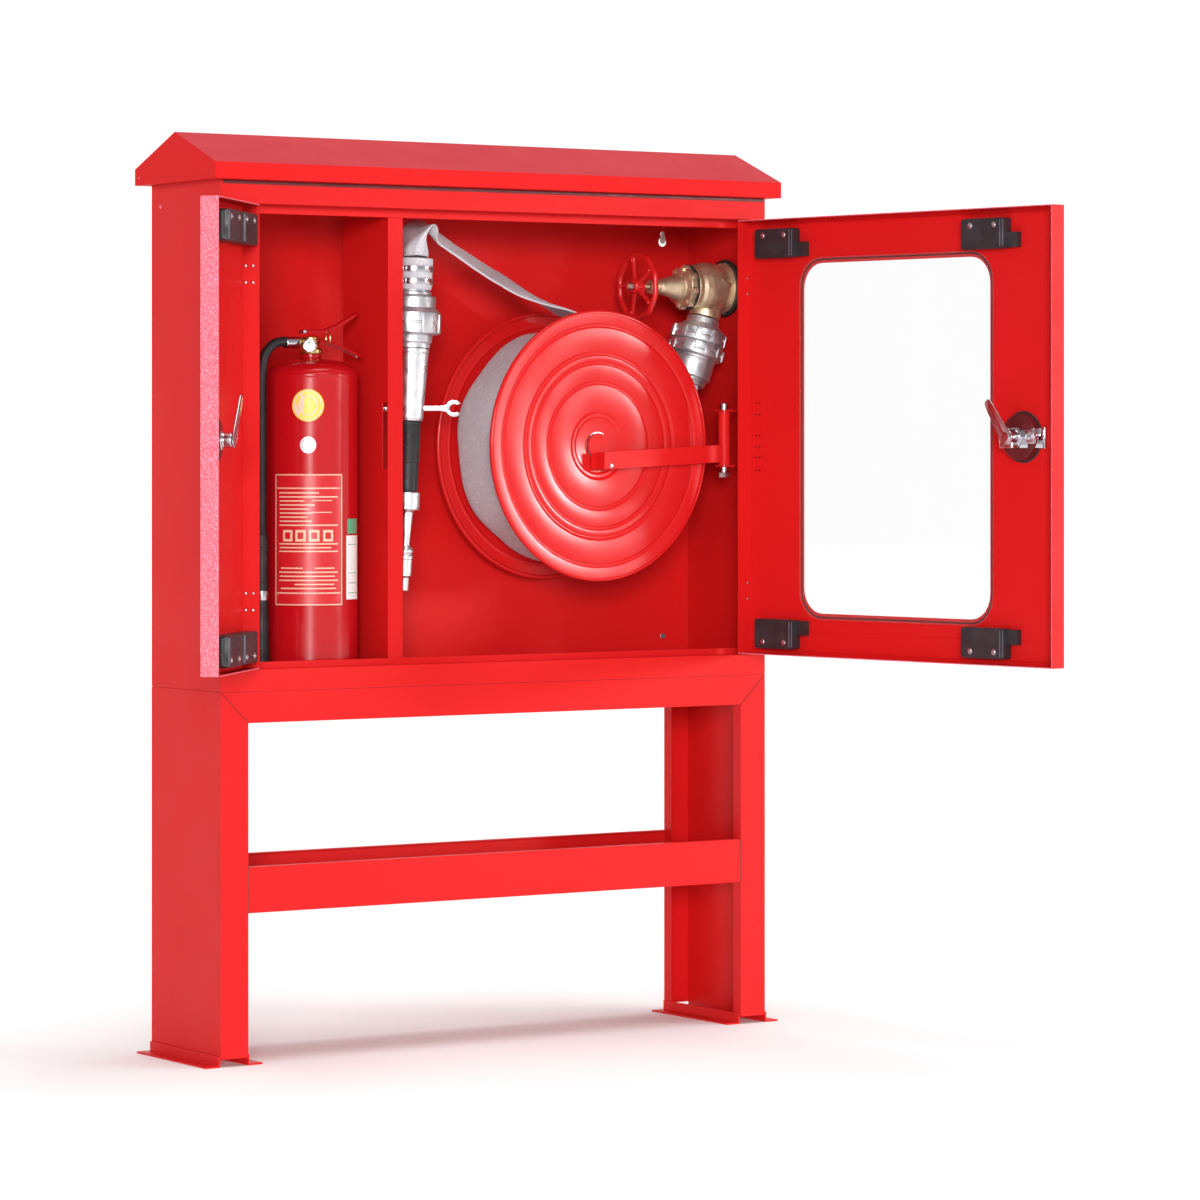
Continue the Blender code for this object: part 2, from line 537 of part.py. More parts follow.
def build_valve(look):
    on_axis = along((0, VALVE_Y, VALVE_Z), (1, 0, 0))
    body = [(0.034, 0.9664), (0.037, 0.972), (0.0415, 0.988), (0.0425, 1.005), (0.0405, 1.022), (0.036, 1.034),
            (0.0430, 1.0365), (0.0430, 1.0465), (0.030, 1.0465), (0.030, 1.075)]
    down = (-math.sin(HOSE_TILT), 0, -math.cos(HOSE_TILT))
    neck = moved(turned([(0.0235, 0.0), (0.0235, 0.040), (0.0265, 0.042), (0.0265, 0.0555)], 20),
                 along((OUTLET[0] - down[0] * 0.056, VALVE_Y, OUTLET[2] - down[2] * 0.056), down))
    bore = moved(cylinder(0.024, 1.055, 1.09), on_axis)
    node("valve_body", look["brass"], [moved(turned(body, 24), on_axis), neck], [bore], smooth=True)

    bonnet = [(0.0052, 0.886), (0.0105, 0.886), (0.0115, 0.888), (0.0115, 0.899), (0.0090, 0.9005),
              (0.0115, 0.903), (0.0210, 0.942), (0.0230, 0.951), (0.0370, 0.953), (0.0370, 0.966),
              (0.0052, 0.966)]
    ears = [moved(cylinder(0.0065, 0.9532, 0.9658, 8), Matrix.Rotation(math.pi * i / 4, 4, "Z")
                  @ Matrix.Translation((0.0355, 0, 0))) for i in range(8)]
    node("valve_bonnet", look["brass"], [moved(shape, on_axis) for shape in [turned(bonnet, 24, ring=True)] + ears],
         smooth=True)

    stem = [(0.0050, 0.8440), (0.0080, 0.8450), (0.0080, 0.8510), (0.0045, 0.8512), (0.0045, 0.960)]
    node("valve_stem", look["brass"], [turned(stem, 14)], (), (0, VALVE_Y, VALVE_Z), (0, math.pi / 2, 0),
         smooth=True)
    rim = [(0.0540 + 0.0052 * math.cos(a), 0.8640 + 0.0048 * math.sin(a))
           for a in (math.pi * i / 3 for i in range(6))]
    wheel = [turned(rim, 24, ring=True), turned([(0.0049, 0.8524), (0.0125, 0.8524), (0.0125, 0.8720),
                                                 (0.0049, 0.8720)], 12, ring=True)]
    for i in range(5):
        spoke = [(0.0110, 0.8560), (0.0260, 0.8590), (0.0510, 0.8612), (0.0510, 0.8662), (0.0260, 0.8650),
                 (0.0110, 0.8640)]
        blade = prism([(r, z) for r, z in spoke], "Y", -0.0045, 0.0045)
        wheel.append(moved(blade, Matrix.Rotation(2 * math.pi * i / 5, 4, "Z")))
    node("handwheel", look["red"], wheel, (), (0, VALVE_Y, VALVE_Z), (0, math.pi / 2, 0), smooth=True)

    on_hose = along(OUTLET, down)
    valve_half = [(0.0250, 0.0006), (0.0275, 0.0015), (0.0275, 0.0130), (0.0350, 0.0150), (0.0360, 0.0200),
                  (0.0450, 0.0215), (0.0460, 0.0240), (0.0460, 0.0440), (0.0450, 0.0455), (0.0330, 0.0455)]
    node("outlet_coupling", look["aluminium"],
         [moved(shape, on_hose) for shape in [turned(valve_half, 24)] + lugs(3, 0.0495, 0.010, 0.026, 0.044, 0.4)],
         smooth=True)
    hose_half = [(0.0330, 0.0460), (0.0450, 0.0460), (0.0460, 0.0480), (0.0460, 0.0670), (0.0440, 0.0690),
                 (0.0380, 0.0700), (0.0370, 0.0720), (0.0355, 0.1050), (0.0300, 0.1070), (0.0290, 0.1180)]
    node("hose_coupling", look["aluminium"],
         [moved(shape, on_hose) for shape in [turned(hose_half, 24)] + lugs(3, 0.0495, 0.010, 0.050, 0.066, 1.4)],
         smooth=True)


def build_hose(look):
    """The two free ends of the reel's hose: to the valve's coupling and over to the branch pipe."""
    down = Vector((-math.sin(HOSE_TILT), 0, -math.cos(HOSE_TILT)))
    start = Vector(OUTLET) + down * 0.1190
    feed = [start, start + down * 0.010, start + down * 0.022 + Vector((0, 0, -0.002)),
            (0.9500, VALVE_Y, 1.0250), (0.9470, VALVE_Y, 1.0000), (0.9465, VALVE_Y, 0.9750)]

    def feed_section(t):
        flat = min(1.0, t / 0.5)
        return oval(0.050 + 0.022 * flat, 0.034 - 0.028 * flat)

    node("hose_feed", look["hose"], [swept(smooth_path(feed, 3), feed_section)], smooth=True)

    lead = [(0.4098, 0.0900, 1.2860), (0.4110, 0.0920, 1.3030), (0.4150, 0.0960, 1.3210), (0.4270, 0.1020, 1.3340),
            (0.4430, 0.1060, 1.3330), (0.4700, 0.1100, 1.3180), (0.5200, 0.1100, 1.2890), (0.5800, 0.1100, 1.2580),
            (0.6400, 0.1100, 1.2310), (0.7000, 0.1100, 1.2070), (0.7600, 0.1100, 1.1870), (0.8150, 0.1100, 1.1680)]

    def lead_section(t):
        flat = min(1.0, max(0.0, (t - 0.06) / 0.20))
        ramp = min(min(1.0, max(0.0, (t - 0.22) / 0.20)), min(1.0, max(0.0, (0.88 - t) / 0.22)))
        lean = LEAD_LEAN * ramp * ramp * (3 - 2 * ramp)
        return [(w * math.cos(lean) - h * math.sin(lean), w * math.sin(lean) + h * math.cos(lean))
                for w, h in oval(0.046 + 0.030 * flat, 0.040 - 0.034 * flat)]

    node("hose_lead", look["hose"], [swept(smooth_path(lead, 3), lead_section)], smooth=True)


# ---- branch pipe and spanner -----------------------------------------------------------------------------

def build_nozzle(look):
    down = (-math.sin(NOZZLE_TILT), 0, -math.cos(NOZZLE_TILT))
    axis = along(NOZZLE_TOP, down)
    coupling = [(0.0290, 0.0000), (0.0330, 0.0070), (0.0330, 0.0300), (0.0290, 0.0310), (0.0290, 0.0500),
                (0.0400, 0.0540), (0.0410, 0.0800), (0.0460, 0.0830), (0.0460, 0.1200), (0.0440, 0.1220),
                (0.0320, 0.1240), (0.0300, 0.1420)]
    node("nozzle_coupling", look["aluminium"],
         [moved(s, axis) for s in [turned(coupling, 24)] + lugs(3, 0.0495, 0.010, 0.084, 0.119, 0.5)], smooth=True)
    tube = [(0.0280, 0.1425), (0.0285, 0.1500), (0.0225, 0.2560), (0.0210, 0.2620)]
    node("nozzle_tube", look["aluminium"], [moved(turned(tube, 20), axis)], smooth=True)
    grip = [(0.0180, 0.2625), (0.0190, 0.2640), (0.0185, 0.3280), (0.0172, 0.3300), (0.0172, 0.3740),
            (0.0165, 0.3775)]
    node("nozzle_grip", look["black"], [moved(turned(grip, 16), axis)], smooth=True)
    tip = [(0.0190, 0.0), (0.0210, 0.0015), (0.0210, 0.0280), (0.0190, 0.0300), (0.0105, 0.0315), (0.0055, 0.0900),
           (0.0125, 0.0930), (0.0135, 0.0960), (0.0135, 0.1090), (0.0120, 0.1110), (0.0115, 0.1380),
           (0.0080, 0.1400), (0.0070, 0.1620), (0.0040, 0.1620), (0.0040, 0.1400)]
    foot = axis @ Vector((0, 0, 0.3779))
    node("nozzle_tip", look["aluminium"], [turned(tip, 16)], (), tuple(foot), axis.to_euler(), smooth=True)

    # Cradle on the divider that the pipe hangs in, hidden behind the divider's front flange.
    middle = axis @ Vector((0, 0, 0.200))
    cradle = arc((0, 0), 0.0300, 95, 208, 10) + arc((0, 0), 0.0276, 208, 95, 10)
    clip = moved(prism(cradle, "Z", -0.012, 0.012), Matrix.Translation(middle))
    web = DIVIDER_X + SHEET + GAP
    stalk = box(web + 0.001, middle.x - 0.0280, 0.085, 0.095, middle.z - 0.008, middle.z + 0.008)
    plate = box(web, web + 0.002, 0.070, 0.110, middle.z - 0.02, middle.z + 0.02)
    node("nozzle_bracket", look["red"], [clip, stalk, plate])


def build_spanner(look):
    """Flat coupling spanner: a bar with an open round head."""
    head = Vector((0.4810, 0.0815, 1.0390))
    run = Vector((0.882, -0.471, 0)).normalized()
    length = 0.165
    outline = arc((0, 0), 0.0140, 35, 155, 8) + [(-0.016, 0.0045), (-length, 0.0050), (-length, -0.0050),
                                                 (-0.016, -0.0045)] + arc((0, 0), 0.0140, 205, 325, 8)
    outline += arc((0, 0), 0.0070, 310, 50, 8)
    matrix = Matrix.Translation(head) @ Vector((1, 0, 0)).rotation_difference(run).to_matrix().to_4x4()
    node("coupling_spanner", look["chrome"], [moved(prism(outline, "Y", -0.0025, 0.0025), matrix)])


# ---- extinguisher ----------------------------------------------------------------------------------------

def build_extinguisher(look):
    x, y = EXT
    floor = STAND_TOP + SHEET + 0.0005
    at = (x, y, 0)
    dome = [(0.016 + (EXT_RADIUS - 0.016) * math.cos(a), 1.092 + 0.0265 * math.sin(a))
            for a in (math.radians(v) for v in (0, 30, 60, 90))]
    cylinder_profile = [(0.0700, floor), (0.0730, floor), (0.0730, 0.6060), (0.0755, 0.6120), (EXT_RADIUS, 0.6180),
                        (EXT_RADIUS, 1.0880), (0.0770, 1.0900)] + dome[1:] + [(0.0165, 1.1260)]
    node("extinguisher_cylinder", look["red"], [turned(cylinder_profile, 28)], (), at, smooth=True)

    head = [(0.0180, 1.1264), (0.0180, 1.1340), (0.0140, 1.1350), (0.0140, 1.1430), (0.0120, 1.1440), (0.0120, 1.1545)]
    side = moved(turned([(0.0085, 0.0), (0.0085, 0.024), (0.0070, 0.0245), (0.0070, 0.0300)], 12),
                 along((0, 0, 1.1450), (-1, 0, 0)))
    node("extinguisher_valve", look["brass"], [turned(head, 16), side], (), at, smooth=True)

    facing = Vector((-0.5516, -0.8341, 0))
    gauge = [(0.0045, 0.0), (0.0045, 0.0045), (0.0100, 0.0047), (0.0108, 0.0060), (0.0108, 0.0105), (0.0098, 0.0115)]
    place = along(Vector((0, 0, 1.1395)) + facing * 0.0186, facing)
    node("pressure_gauge", look["chrome"], [moved(turned(gauge, 16), place)], (), at, smooth=True)

    # Both handles point right and slightly to the front.
    toward = math.atan2(-0.017, 0.080)
    turn = (0, 0, toward)
    width = 0.011
    carry = [(0.0125, 1.1450), (0.0300, 1.1440), (0.0600, 1.1330), (0.0860, 1.1200), (0.0870, 1.1225),
             (0.0610, 1.1360), (0.0305, 1.1475), (0.0125, 1.1480)]
    node("carry_handle", look["red"], [prism(carry, "Y", -width, width)], (), at, turn)
    lever = [(-0.0160, 1.1612), (0.0180, 1.1612), (0.0420, 1.1700), (0.0780, 1.1930), (0.0765, 1.1965),
             (0.0400, 1.1745), (0.0160, 1.1665), (-0.0160, 1.1660)]
    pivot = Vector((-0.0140, 0, 1.1640))
    lever = [(a - pivot.x, b - pivot.z) for a, b in lever]
    place = Euler(turn).to_matrix() @ pivot
    node("squeeze_lever", look["red"], [prism(lever, "Y", -width, width)], (),
         (x + place.x, y + place.y, pivot.z), turn)

    # Safety pin with its ring: it lies between the lever and the head and pulls out to the front.
    shaft = moved(turned([(0.0014, 0.0), (0.0014, 0.0440)], 10), along((0, 0, 0), (0, -1, 0)))
    bow = [(0.0110 + 0.0012 * math.cos(a), 0.0012 * math.sin(a)) for a in (math.pi * i / 3 for i in range(6))]
    loop = moved(turned(bow, 20, ring=True),
                 Matrix.Translation((0, -0.0540, 0)) @ Matrix.Rotation(math.pi / 2, 4, "Y"))
    spot = Euler(turn).to_matrix() @ Vector((0.0175, 0.0180, 0))
    node("safety_pin", look["chrome"], [shaft, loop], (), (x + spot.x, y + spot.y, 1.1510), turn, smooth=True)

    hose = [(-0.0308, 0, 1.1450), (-0.0500, 0, 1.1460), (-0.0700, 0, 1.1410), (-0.0860, 0, 1.1230),
            (-0.0910, 0, 1.0950), (-0.0915, 0, 1.0500), (-0.0915, 0, 0.9800), (-0.0915, 0, 0.9000),
            (-0.0915, 0, 0.8360)]
    node("extinguisher_hose", look["black"], [swept(smooth_path(hose, 3), lambda t: oval(0.0160, 0.0160, 10))],
         (), at, smooth=True)
    horn = [(0.0090, 0.8355), (0.0100, 0.8340), (0.0100, 0.7600), (0.0112, 0.7590), (0.0112, 0.7200),
            (0.0105, 0.7190), (0.0130, 0.6240), (0.0110, 0.6240), (0.0085, 0.6900)]
    node("extinguisher_horn", look["black"], [moved(turned(horn, 16), Matrix.Translation((-0.0915, 0, 0)))],
         (), at, smooth=True)


def main():
    clear_scene()
    look = {
        "red": material("red_enamel", RED, 0.35, 0.0),
        "brass": material("brass", BRASS, 0.35, 1.0),
        "aluminium": material("cast_aluminium", ALUMINIUM, 0.4, 1.0),
        "chrome": material("chrome", ALUMINIUM, 0.15, 1.0),
        "black": material("black_plastic", BLACK, 0.5, 0.0),
        "hose": material("woven_hose", HOSE, 0.85, 0.0),
        "glass": material("clear_pane", GLASS, 0.05, 0.0),
    }
    red = look["red"]
    build_legs(red)
    build_rails(red)
    build_feet(red)
    build_casing(red)
    build_front_frame(red)
    build_divider(red)
    build_roof(red)
    build_door("left", 1, LEFT_LENGTH, LEFT_REST, LEFT_LOCK, look)
    build_door("right", -1, RIGHT_LENGTH, RIGHT_REST, RIGHT_LOCK, look)
    build_blocks(look["black"])
    build_reel(look)
    build_valve(look)
    build_hose(look)
    build_nozzle(look)
    build_spanner(look)
    build_extinguisher(look)


main()
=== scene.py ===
"""Looks of the standpipe cabinet: refined sheet metal, castings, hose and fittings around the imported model."""
import json
import math

import bmesh
import bpy
from mathutils import Matrix, Vector, noise


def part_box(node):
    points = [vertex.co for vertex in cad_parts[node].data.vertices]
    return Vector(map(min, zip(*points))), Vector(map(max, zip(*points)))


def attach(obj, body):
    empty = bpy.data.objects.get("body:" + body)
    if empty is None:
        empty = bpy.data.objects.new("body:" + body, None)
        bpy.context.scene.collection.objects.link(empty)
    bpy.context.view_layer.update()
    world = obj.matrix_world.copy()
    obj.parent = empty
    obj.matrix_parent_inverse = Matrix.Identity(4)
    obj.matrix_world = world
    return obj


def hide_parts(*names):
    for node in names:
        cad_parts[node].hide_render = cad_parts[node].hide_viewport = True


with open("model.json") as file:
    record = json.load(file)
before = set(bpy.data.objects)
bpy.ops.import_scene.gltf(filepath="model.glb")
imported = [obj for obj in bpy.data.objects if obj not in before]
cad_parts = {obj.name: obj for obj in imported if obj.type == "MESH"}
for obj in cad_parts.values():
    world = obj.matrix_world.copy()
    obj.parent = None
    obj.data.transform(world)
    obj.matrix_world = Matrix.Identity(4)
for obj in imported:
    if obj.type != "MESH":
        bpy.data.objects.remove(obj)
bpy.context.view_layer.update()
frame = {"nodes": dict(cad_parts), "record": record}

# Cabinet coordinates: X from the left leg, Y from the front, as the casing is dimensioned
X0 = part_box("left_leg")[0][0]
Y0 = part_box("left_leg")[0][1]
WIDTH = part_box("right_leg")[1][0] - X0
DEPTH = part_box("left_leg")[1][1] - Y0
SHEET = 0.0015
CABINET = Matrix.Translation((X0, Y0, 0))

# Turns that lay a shape's own Z axis along another one
TO_Y = Matrix.Rotation(-math.pi / 2, 4, "X")
FROM_Y = Matrix.Rotation(math.pi / 2, 4, "X")
TO_X = Matrix.Rotation(math.pi / 2, 4, "Y")
FROM_X = Matrix.Rotation(-math.pi / 2, 4, "Y")

# Camera: its place in cabinet coordinates, its turn to the right and the way it looks
CAMERA_AT = (-3.5259, -6.4123, 0.9807)
CAMERA_TURN = 33.478
VIEW = (0.5516, 0.8341, 0.0)
LENS = 139.24
FRAMING_SHIFT = -0.1301

# Doors and reel as they stand at rest
LEFT_DOOR = CABINET @ Matrix.Translation((0.0312, -0.0045, 0)) @ Matrix.Rotation(math.radians(-132.8), 4, "Z")
RIGHT_DOOR = (CABINET @ Matrix.Translation((WIDTH - 0.0312, -0.0045, 0))
              @ Matrix.Rotation(math.radians(98.3), 4, "Z"))
DOOR_FACE = 0.0045
DOOR_BACK = 0.0329
LEFT_BLOCK_EXTRA = 0.0095
LEVER_LEAN = 35.0
DOOR_LOW = 0.627
DOOR_HIGH = 1.3575
REEL = CABINET @ Matrix.Translation((1.000, 0.049, 0)) @ Matrix.Rotation(math.radians(3.92), 4, "Z")
HUB = REEL @ Matrix.Translation((-0.256, 0, 0.9777)) @ Matrix.Rotation(-math.pi / 2, 4, "X")
DISC_RADIUS = 0.2265
VALVE = CABINET @ Matrix.Translation((0, 0.110, 1.2475)) @ Matrix.Rotation(math.pi / 2, 4, "Y")
EXTINGUISHER = CABINET @ Matrix.Translation((0.2332, 0.1213, 0))
EXT_RADIUS = 0.076


def stand_on(start, direction):
    """A frame whose Z axis lies along a direction."""
    turn = Vector((0, 0, 1)).rotation_difference(Vector(direction)).to_matrix().to_4x4()
    return Matrix.Translation(Vector(start)) @ turn


TILT = math.radians(17.0)
HOSE_DOWN = Vector((-math.sin(TILT), 0, -math.cos(TILT)))
OUTLET = CABINET @ stand_on((1.000, 0.110, 1.195), HOSE_DOWN)
NOZZLE_LEAN = math.radians(2.11)
NOZZLE = CABINET @ stand_on((0.410, 0.090, 1.280), (-math.sin(NOZZLE_LEAN), 0, -math.cos(NOZZLE_LEAN)))


# ---- materials -------------------------------------------------------------------------------------------

class Look:
    """A material under construction: a Principled shader plus helpers that add texture nodes."""

    def __init__(self, name, colour, roughness, metallic=0.0, **sockets):
        self.made = bpy.data.materials.new(name)
        self.made.use_nodes = True
        self.nodes = self.made.node_tree.nodes
        self.links = self.made.node_tree.links
        self.shader = self.nodes["Principled BSDF"]
        self.set(base_color=colour, roughness=roughness, metallic=metallic, **sockets)
        self.colour = colour
        self.place = self.nodes.new("ShaderNodeTexCoord").outputs["Object"]
        self.normal = None

    def set(self, **sockets):
        for key, value in sockets.items():
            self.shader.inputs[key.replace("_", " ").title().replace("Ior", "IOR")].default_value = value

    def noise(self, scale, detail=3.0, roughness=0.5, stretch=None):
        made = self.nodes.new("ShaderNodeTexNoise")
        made.inputs["Scale"].default_value = scale
        made.inputs["Detail"].default_value = detail
        made.inputs["Roughness"].default_value = roughness
        self.links.new(self.stretched(stretch), made.inputs["Vector"])
        return made.outputs["Fac"]

    def stretched(self, stretch):
        if not stretch:
            return self.place
        made = self.nodes.new("ShaderNodeMapping")
        made.inputs["Scale"].default_value = stretch
        self.links.new(self.place, made.inputs["Vector"])
        return made.outputs["Vector"]

    def wave(self, scale, axis, distortion):
        made = self.nodes.new("ShaderNodeTexWave")
        made.bands_direction = axis
        made.inputs["Scale"].default_value = scale
        made.inputs["Distortion"].default_value = distortion
        self.links.new(self.place, made.inputs["Vector"])
        return made.outputs["Fac"]

    def ramp(self, source, low, high, start, end):
        made = self.nodes.new("ShaderNodeMapRange")
        for key, value in (("From Min", low), ("From Max", high), ("To Min", start), ("To Max", end)):
            made.inputs[key].default_value = value
        self.links.new(source, made.inputs["Value"])
        return made.outputs["Result"]

    def math(self, operation, a, b):
        made = self.nodes.new("ShaderNodeMath")
        made.operation = operation
        for slot, value in ((0, a), (1, b)):
            if isinstance(value, (int, float)):
                made.inputs[slot].default_value = value
            else:
                self.links.new(value, made.inputs[slot])
        return made.outputs[0]

    def tint(self, factor, other, base=None):
        """Mixes another colour in, where factor is 1."""
        made = self.nodes.new("ShaderNodeMix")
        made.data_type = "RGBA"
        self.links.new(factor, made.inputs["Factor"])
        if base is None:
            made.inputs["A"].default_value = self.colour
        else:
            self.links.new(base, made.inputs["A"])
        made.inputs["B"].default_value = other
        self.links.new(made.outputs["Result"], self.shader.inputs["Base Color"])
        return made.outputs["Result"]

    def rough(self, source, low, high):
        self.links.new(self.ramp(source, 0.3, 0.7, low, high), self.shader.inputs["Roughness"])

    def bump(self, height, distance, strength=1.0):
        made = self.nodes.new("ShaderNodeBump")
        made.inputs["Distance"].default_value = distance
        made.inputs["Strength"].default_value = strength
        self.links.new(height, made.inputs["Height"])
        if self.normal:
            self.links.new(self.normal, made.inputs["Normal"])
        self.normal = made.outputs["Normal"]
        self.links.new(self.normal, self.shader.inputs["Normal"])

    def facing(self, axis, low, high):
        """How far a surface faces along an axis of the object, from 0 to 1."""
        split = self.nodes.new("ShaderNodeSeparateXYZ")
        coordinates = self.nodes.new("ShaderNodeTexCoord")
        self.links.new(coordinates.outputs["Normal"], split.inputs[0])
        return self.ramp(split.outputs[axis], low, high, 0.0, 1.0)


RED = (0.62, 0.0100, 0.0105, 1)


def red_enamel(name, dust=0.0, gloss=0.38, shine=0.12, peel=0.25, base=RED):
    """Powder coat: orange peel, faint cloudiness and fine handling scratches."""
    look = Look(name, base, gloss, specular_ior_level=shine)
    cloud = look.noise(5.0, 4.0)
    base = look.tint(look.ramp(cloud, 0.35, 0.75, 0.0, 0.30), tuple(c * 0.87 for c in base[:3]) + (1,))
    scuffs = look.noise(60.0, 6.0, 0.7, stretch=(1.0, 1.0, 0.12))
    base = look.tint(look.ramp(scuffs, 0.68, 0.80, 0.0, 0.16), (0.75, 0.06, 0.06, 1), base)
    if dust:
        patchy = look.ramp(look.noise(9.0, 7.0), 0.3, 0.7, 0.75, 1.0)
        lying = look.math("MULTIPLY", look.facing("Z", 0.3, 0.9), patchy)
        look.tint(look.math("MULTIPLY", lying, dust), (0.38, 0.045, 0.062, 1), base)
    look.rough(look.noise(9.0, 5.0), gloss - 0.05, gloss + 0.08)
    look.bump(look.noise(420.0, 2.0), 0.00008, 0.5)
    look.bump(look.noise(14.0, 2.0), 0.00060, peel)
    return look.made


def cast_metal(name, colour, dark, roughness, grain, metallic=1.0):
    look = Look(name, colour, roughness, metallic)
    base = look.tint(look.ramp(look.noise(38.0, 6.0, 0.65), 0.42, 0.72, 0.0, 0.75), dark)
    look.tint(look.ramp(look.noise(160.0, 4.0), 0.60, 0.75, 0.0, 0.5), dark, base)
    look.rough(look.noise(70.0, 5.0), roughness - 0.10, roughness + 0.14)
    look.bump(look.noise(grain, 3.0), 0.00035, 0.5)
    return look.made


def turned_metal(name, axis):
    """Machined aluminium with fine turning marks round one axis."""
    look = Look(name, (0.80, 0.81, 0.83, 1), 0.30, 1.0)
    look.tint(look.ramp(look.noise(30.0, 5.0), 0.45, 0.75, 0.0, 0.5), (0.55, 0.56, 0.59, 1))
    look.rough(look.noise(50.0, 4.0), 0.22, 0.40)
    look.bump(look.wave(900.0, axis, 1.5), 0.00006, 0.5)
    look.bump(look.noise(260.0, 2.0), 0.00012, 0.35)
    return look.made


def plated(name, colour=(0.62, 0.60, 0.64, 1), roughness=0.16):
    look = Look(name, colour, roughness, 1.0)
    look.tint(look.ramp(look.noise(45.0, 5.0), 0.5, 0.8, 0.0, 0.35), (0.58, 0.59, 0.62, 1))
    look.rough(look.noise(80.0, 5.0), roughness - 0.05, roughness + 0.12)
    look.bump(look.noise(500.0, 2.0), 0.00005, 0.3)
    return look.made


def moulded(name, colour, roughness, grain=700.0):
    look = Look(name, colour, roughness)
    lighter = tuple(min(1.0, c * 2.2 + 0.01) for c in colour[:3]) + (1,)
    look.tint(look.ramp(look.noise(25.0, 5.0), 0.45, 0.8, 0.0, 0.6), lighter)
    look.rough(look.noise(60.0, 4.0), roughness - 0.08, roughness + 0.12)
    look.bump(look.noise(grain, 2.0), 0.00012, 0.5)
    return look.made


def woven(name, cross, along):
    """Woven polyester jacket: warp ribs along the hose and finer weft across, soiled a little."""
    look = Look(name, (0.78, 0.77, 0.81, 1), 0.82, specular_ior_level=0.2)
    warp = look.wave(330.0, cross, 1.2)
    weft = look.wave(240.0, along, 1.2)
    both = look.math("MULTIPLY", warp, weft)
    base = look.tint(look.ramp(both, 0.0, 0.45, 0.50, 0.0), (0.36, 0.33, 0.37, 1))
    base = look.tint(look.ramp(look.noise(12.0, 6.0, 0.6), 0.48, 0.72, 0.0, 0.45), (0.50, 0.44, 0.48, 1), base)
    base = look.tint(look.ramp(look.noise(420.0, 3.0, 0.7), 0.48, 0.66, 0.0, 0.55), (0.42, 0.38, 0.43, 1), base)
    look.tint(look.ramp(look.noise(150.0, 4.0), 0.56, 0.74, 0.0, 0.65), (0.88, 0.87, 0.88, 1), base)
    look.bump(both, 0.0007, 0.8)
    look.bump(look.noise(45.0, 3.0), 0.0014, 0.4)
    return look.made


def painted_highlight_look():
    """Powder coat on a fold, pale as a painted highlight where it catches the light, with the coat's grain
    showing.
    """
    look = Look("painted_highlight_fold", (0.70, 0.14, 0.20, 1), 0.5)
    base = look.tint(look.ramp(look.noise(330.0, 3.0, 0.6), 0.40, 0.62, 0.0, 0.75), (0.66, 0.035, 0.06, 1))
    look.tint(look.ramp(look.noise(520.0, 2.0), 0.52, 0.70, 0.0, 0.8), (0.86, 0.46, 0.55, 1), base)
    look.rough(look.noise(60.0, 3.0), 0.40, 0.62)
    look.bump(look.noise(420.0, 2.0), 0.00025, 0.7)
    return look.made


def clear_pane():
    look = Look("clear_pane", (0.32, 0.36, 0.36, 1), 0.03, alpha=0.06)
    look.rough(look.noise(6.0, 4.0), 0.02, 0.06)
    look.bump(look.noise(3.0, 1.0), 0.0004, 0.15)
    return look.made


def label_print(name, ground, ink, scale):
    """A printed panel: a ground colour with an even, meaningless tone."""
    look = Look(name, ground, 0.35)
    look.tint(look.ramp(look.noise(scale, 3.0), 0.5, 0.7, 0.0, 0.35), ink)
    look.rough(look.noise(40.0, 3.0), 0.28, 0.42)
    look.bump(look.noise(300.0, 2.0), 0.00005, 0.3)
    return look.made


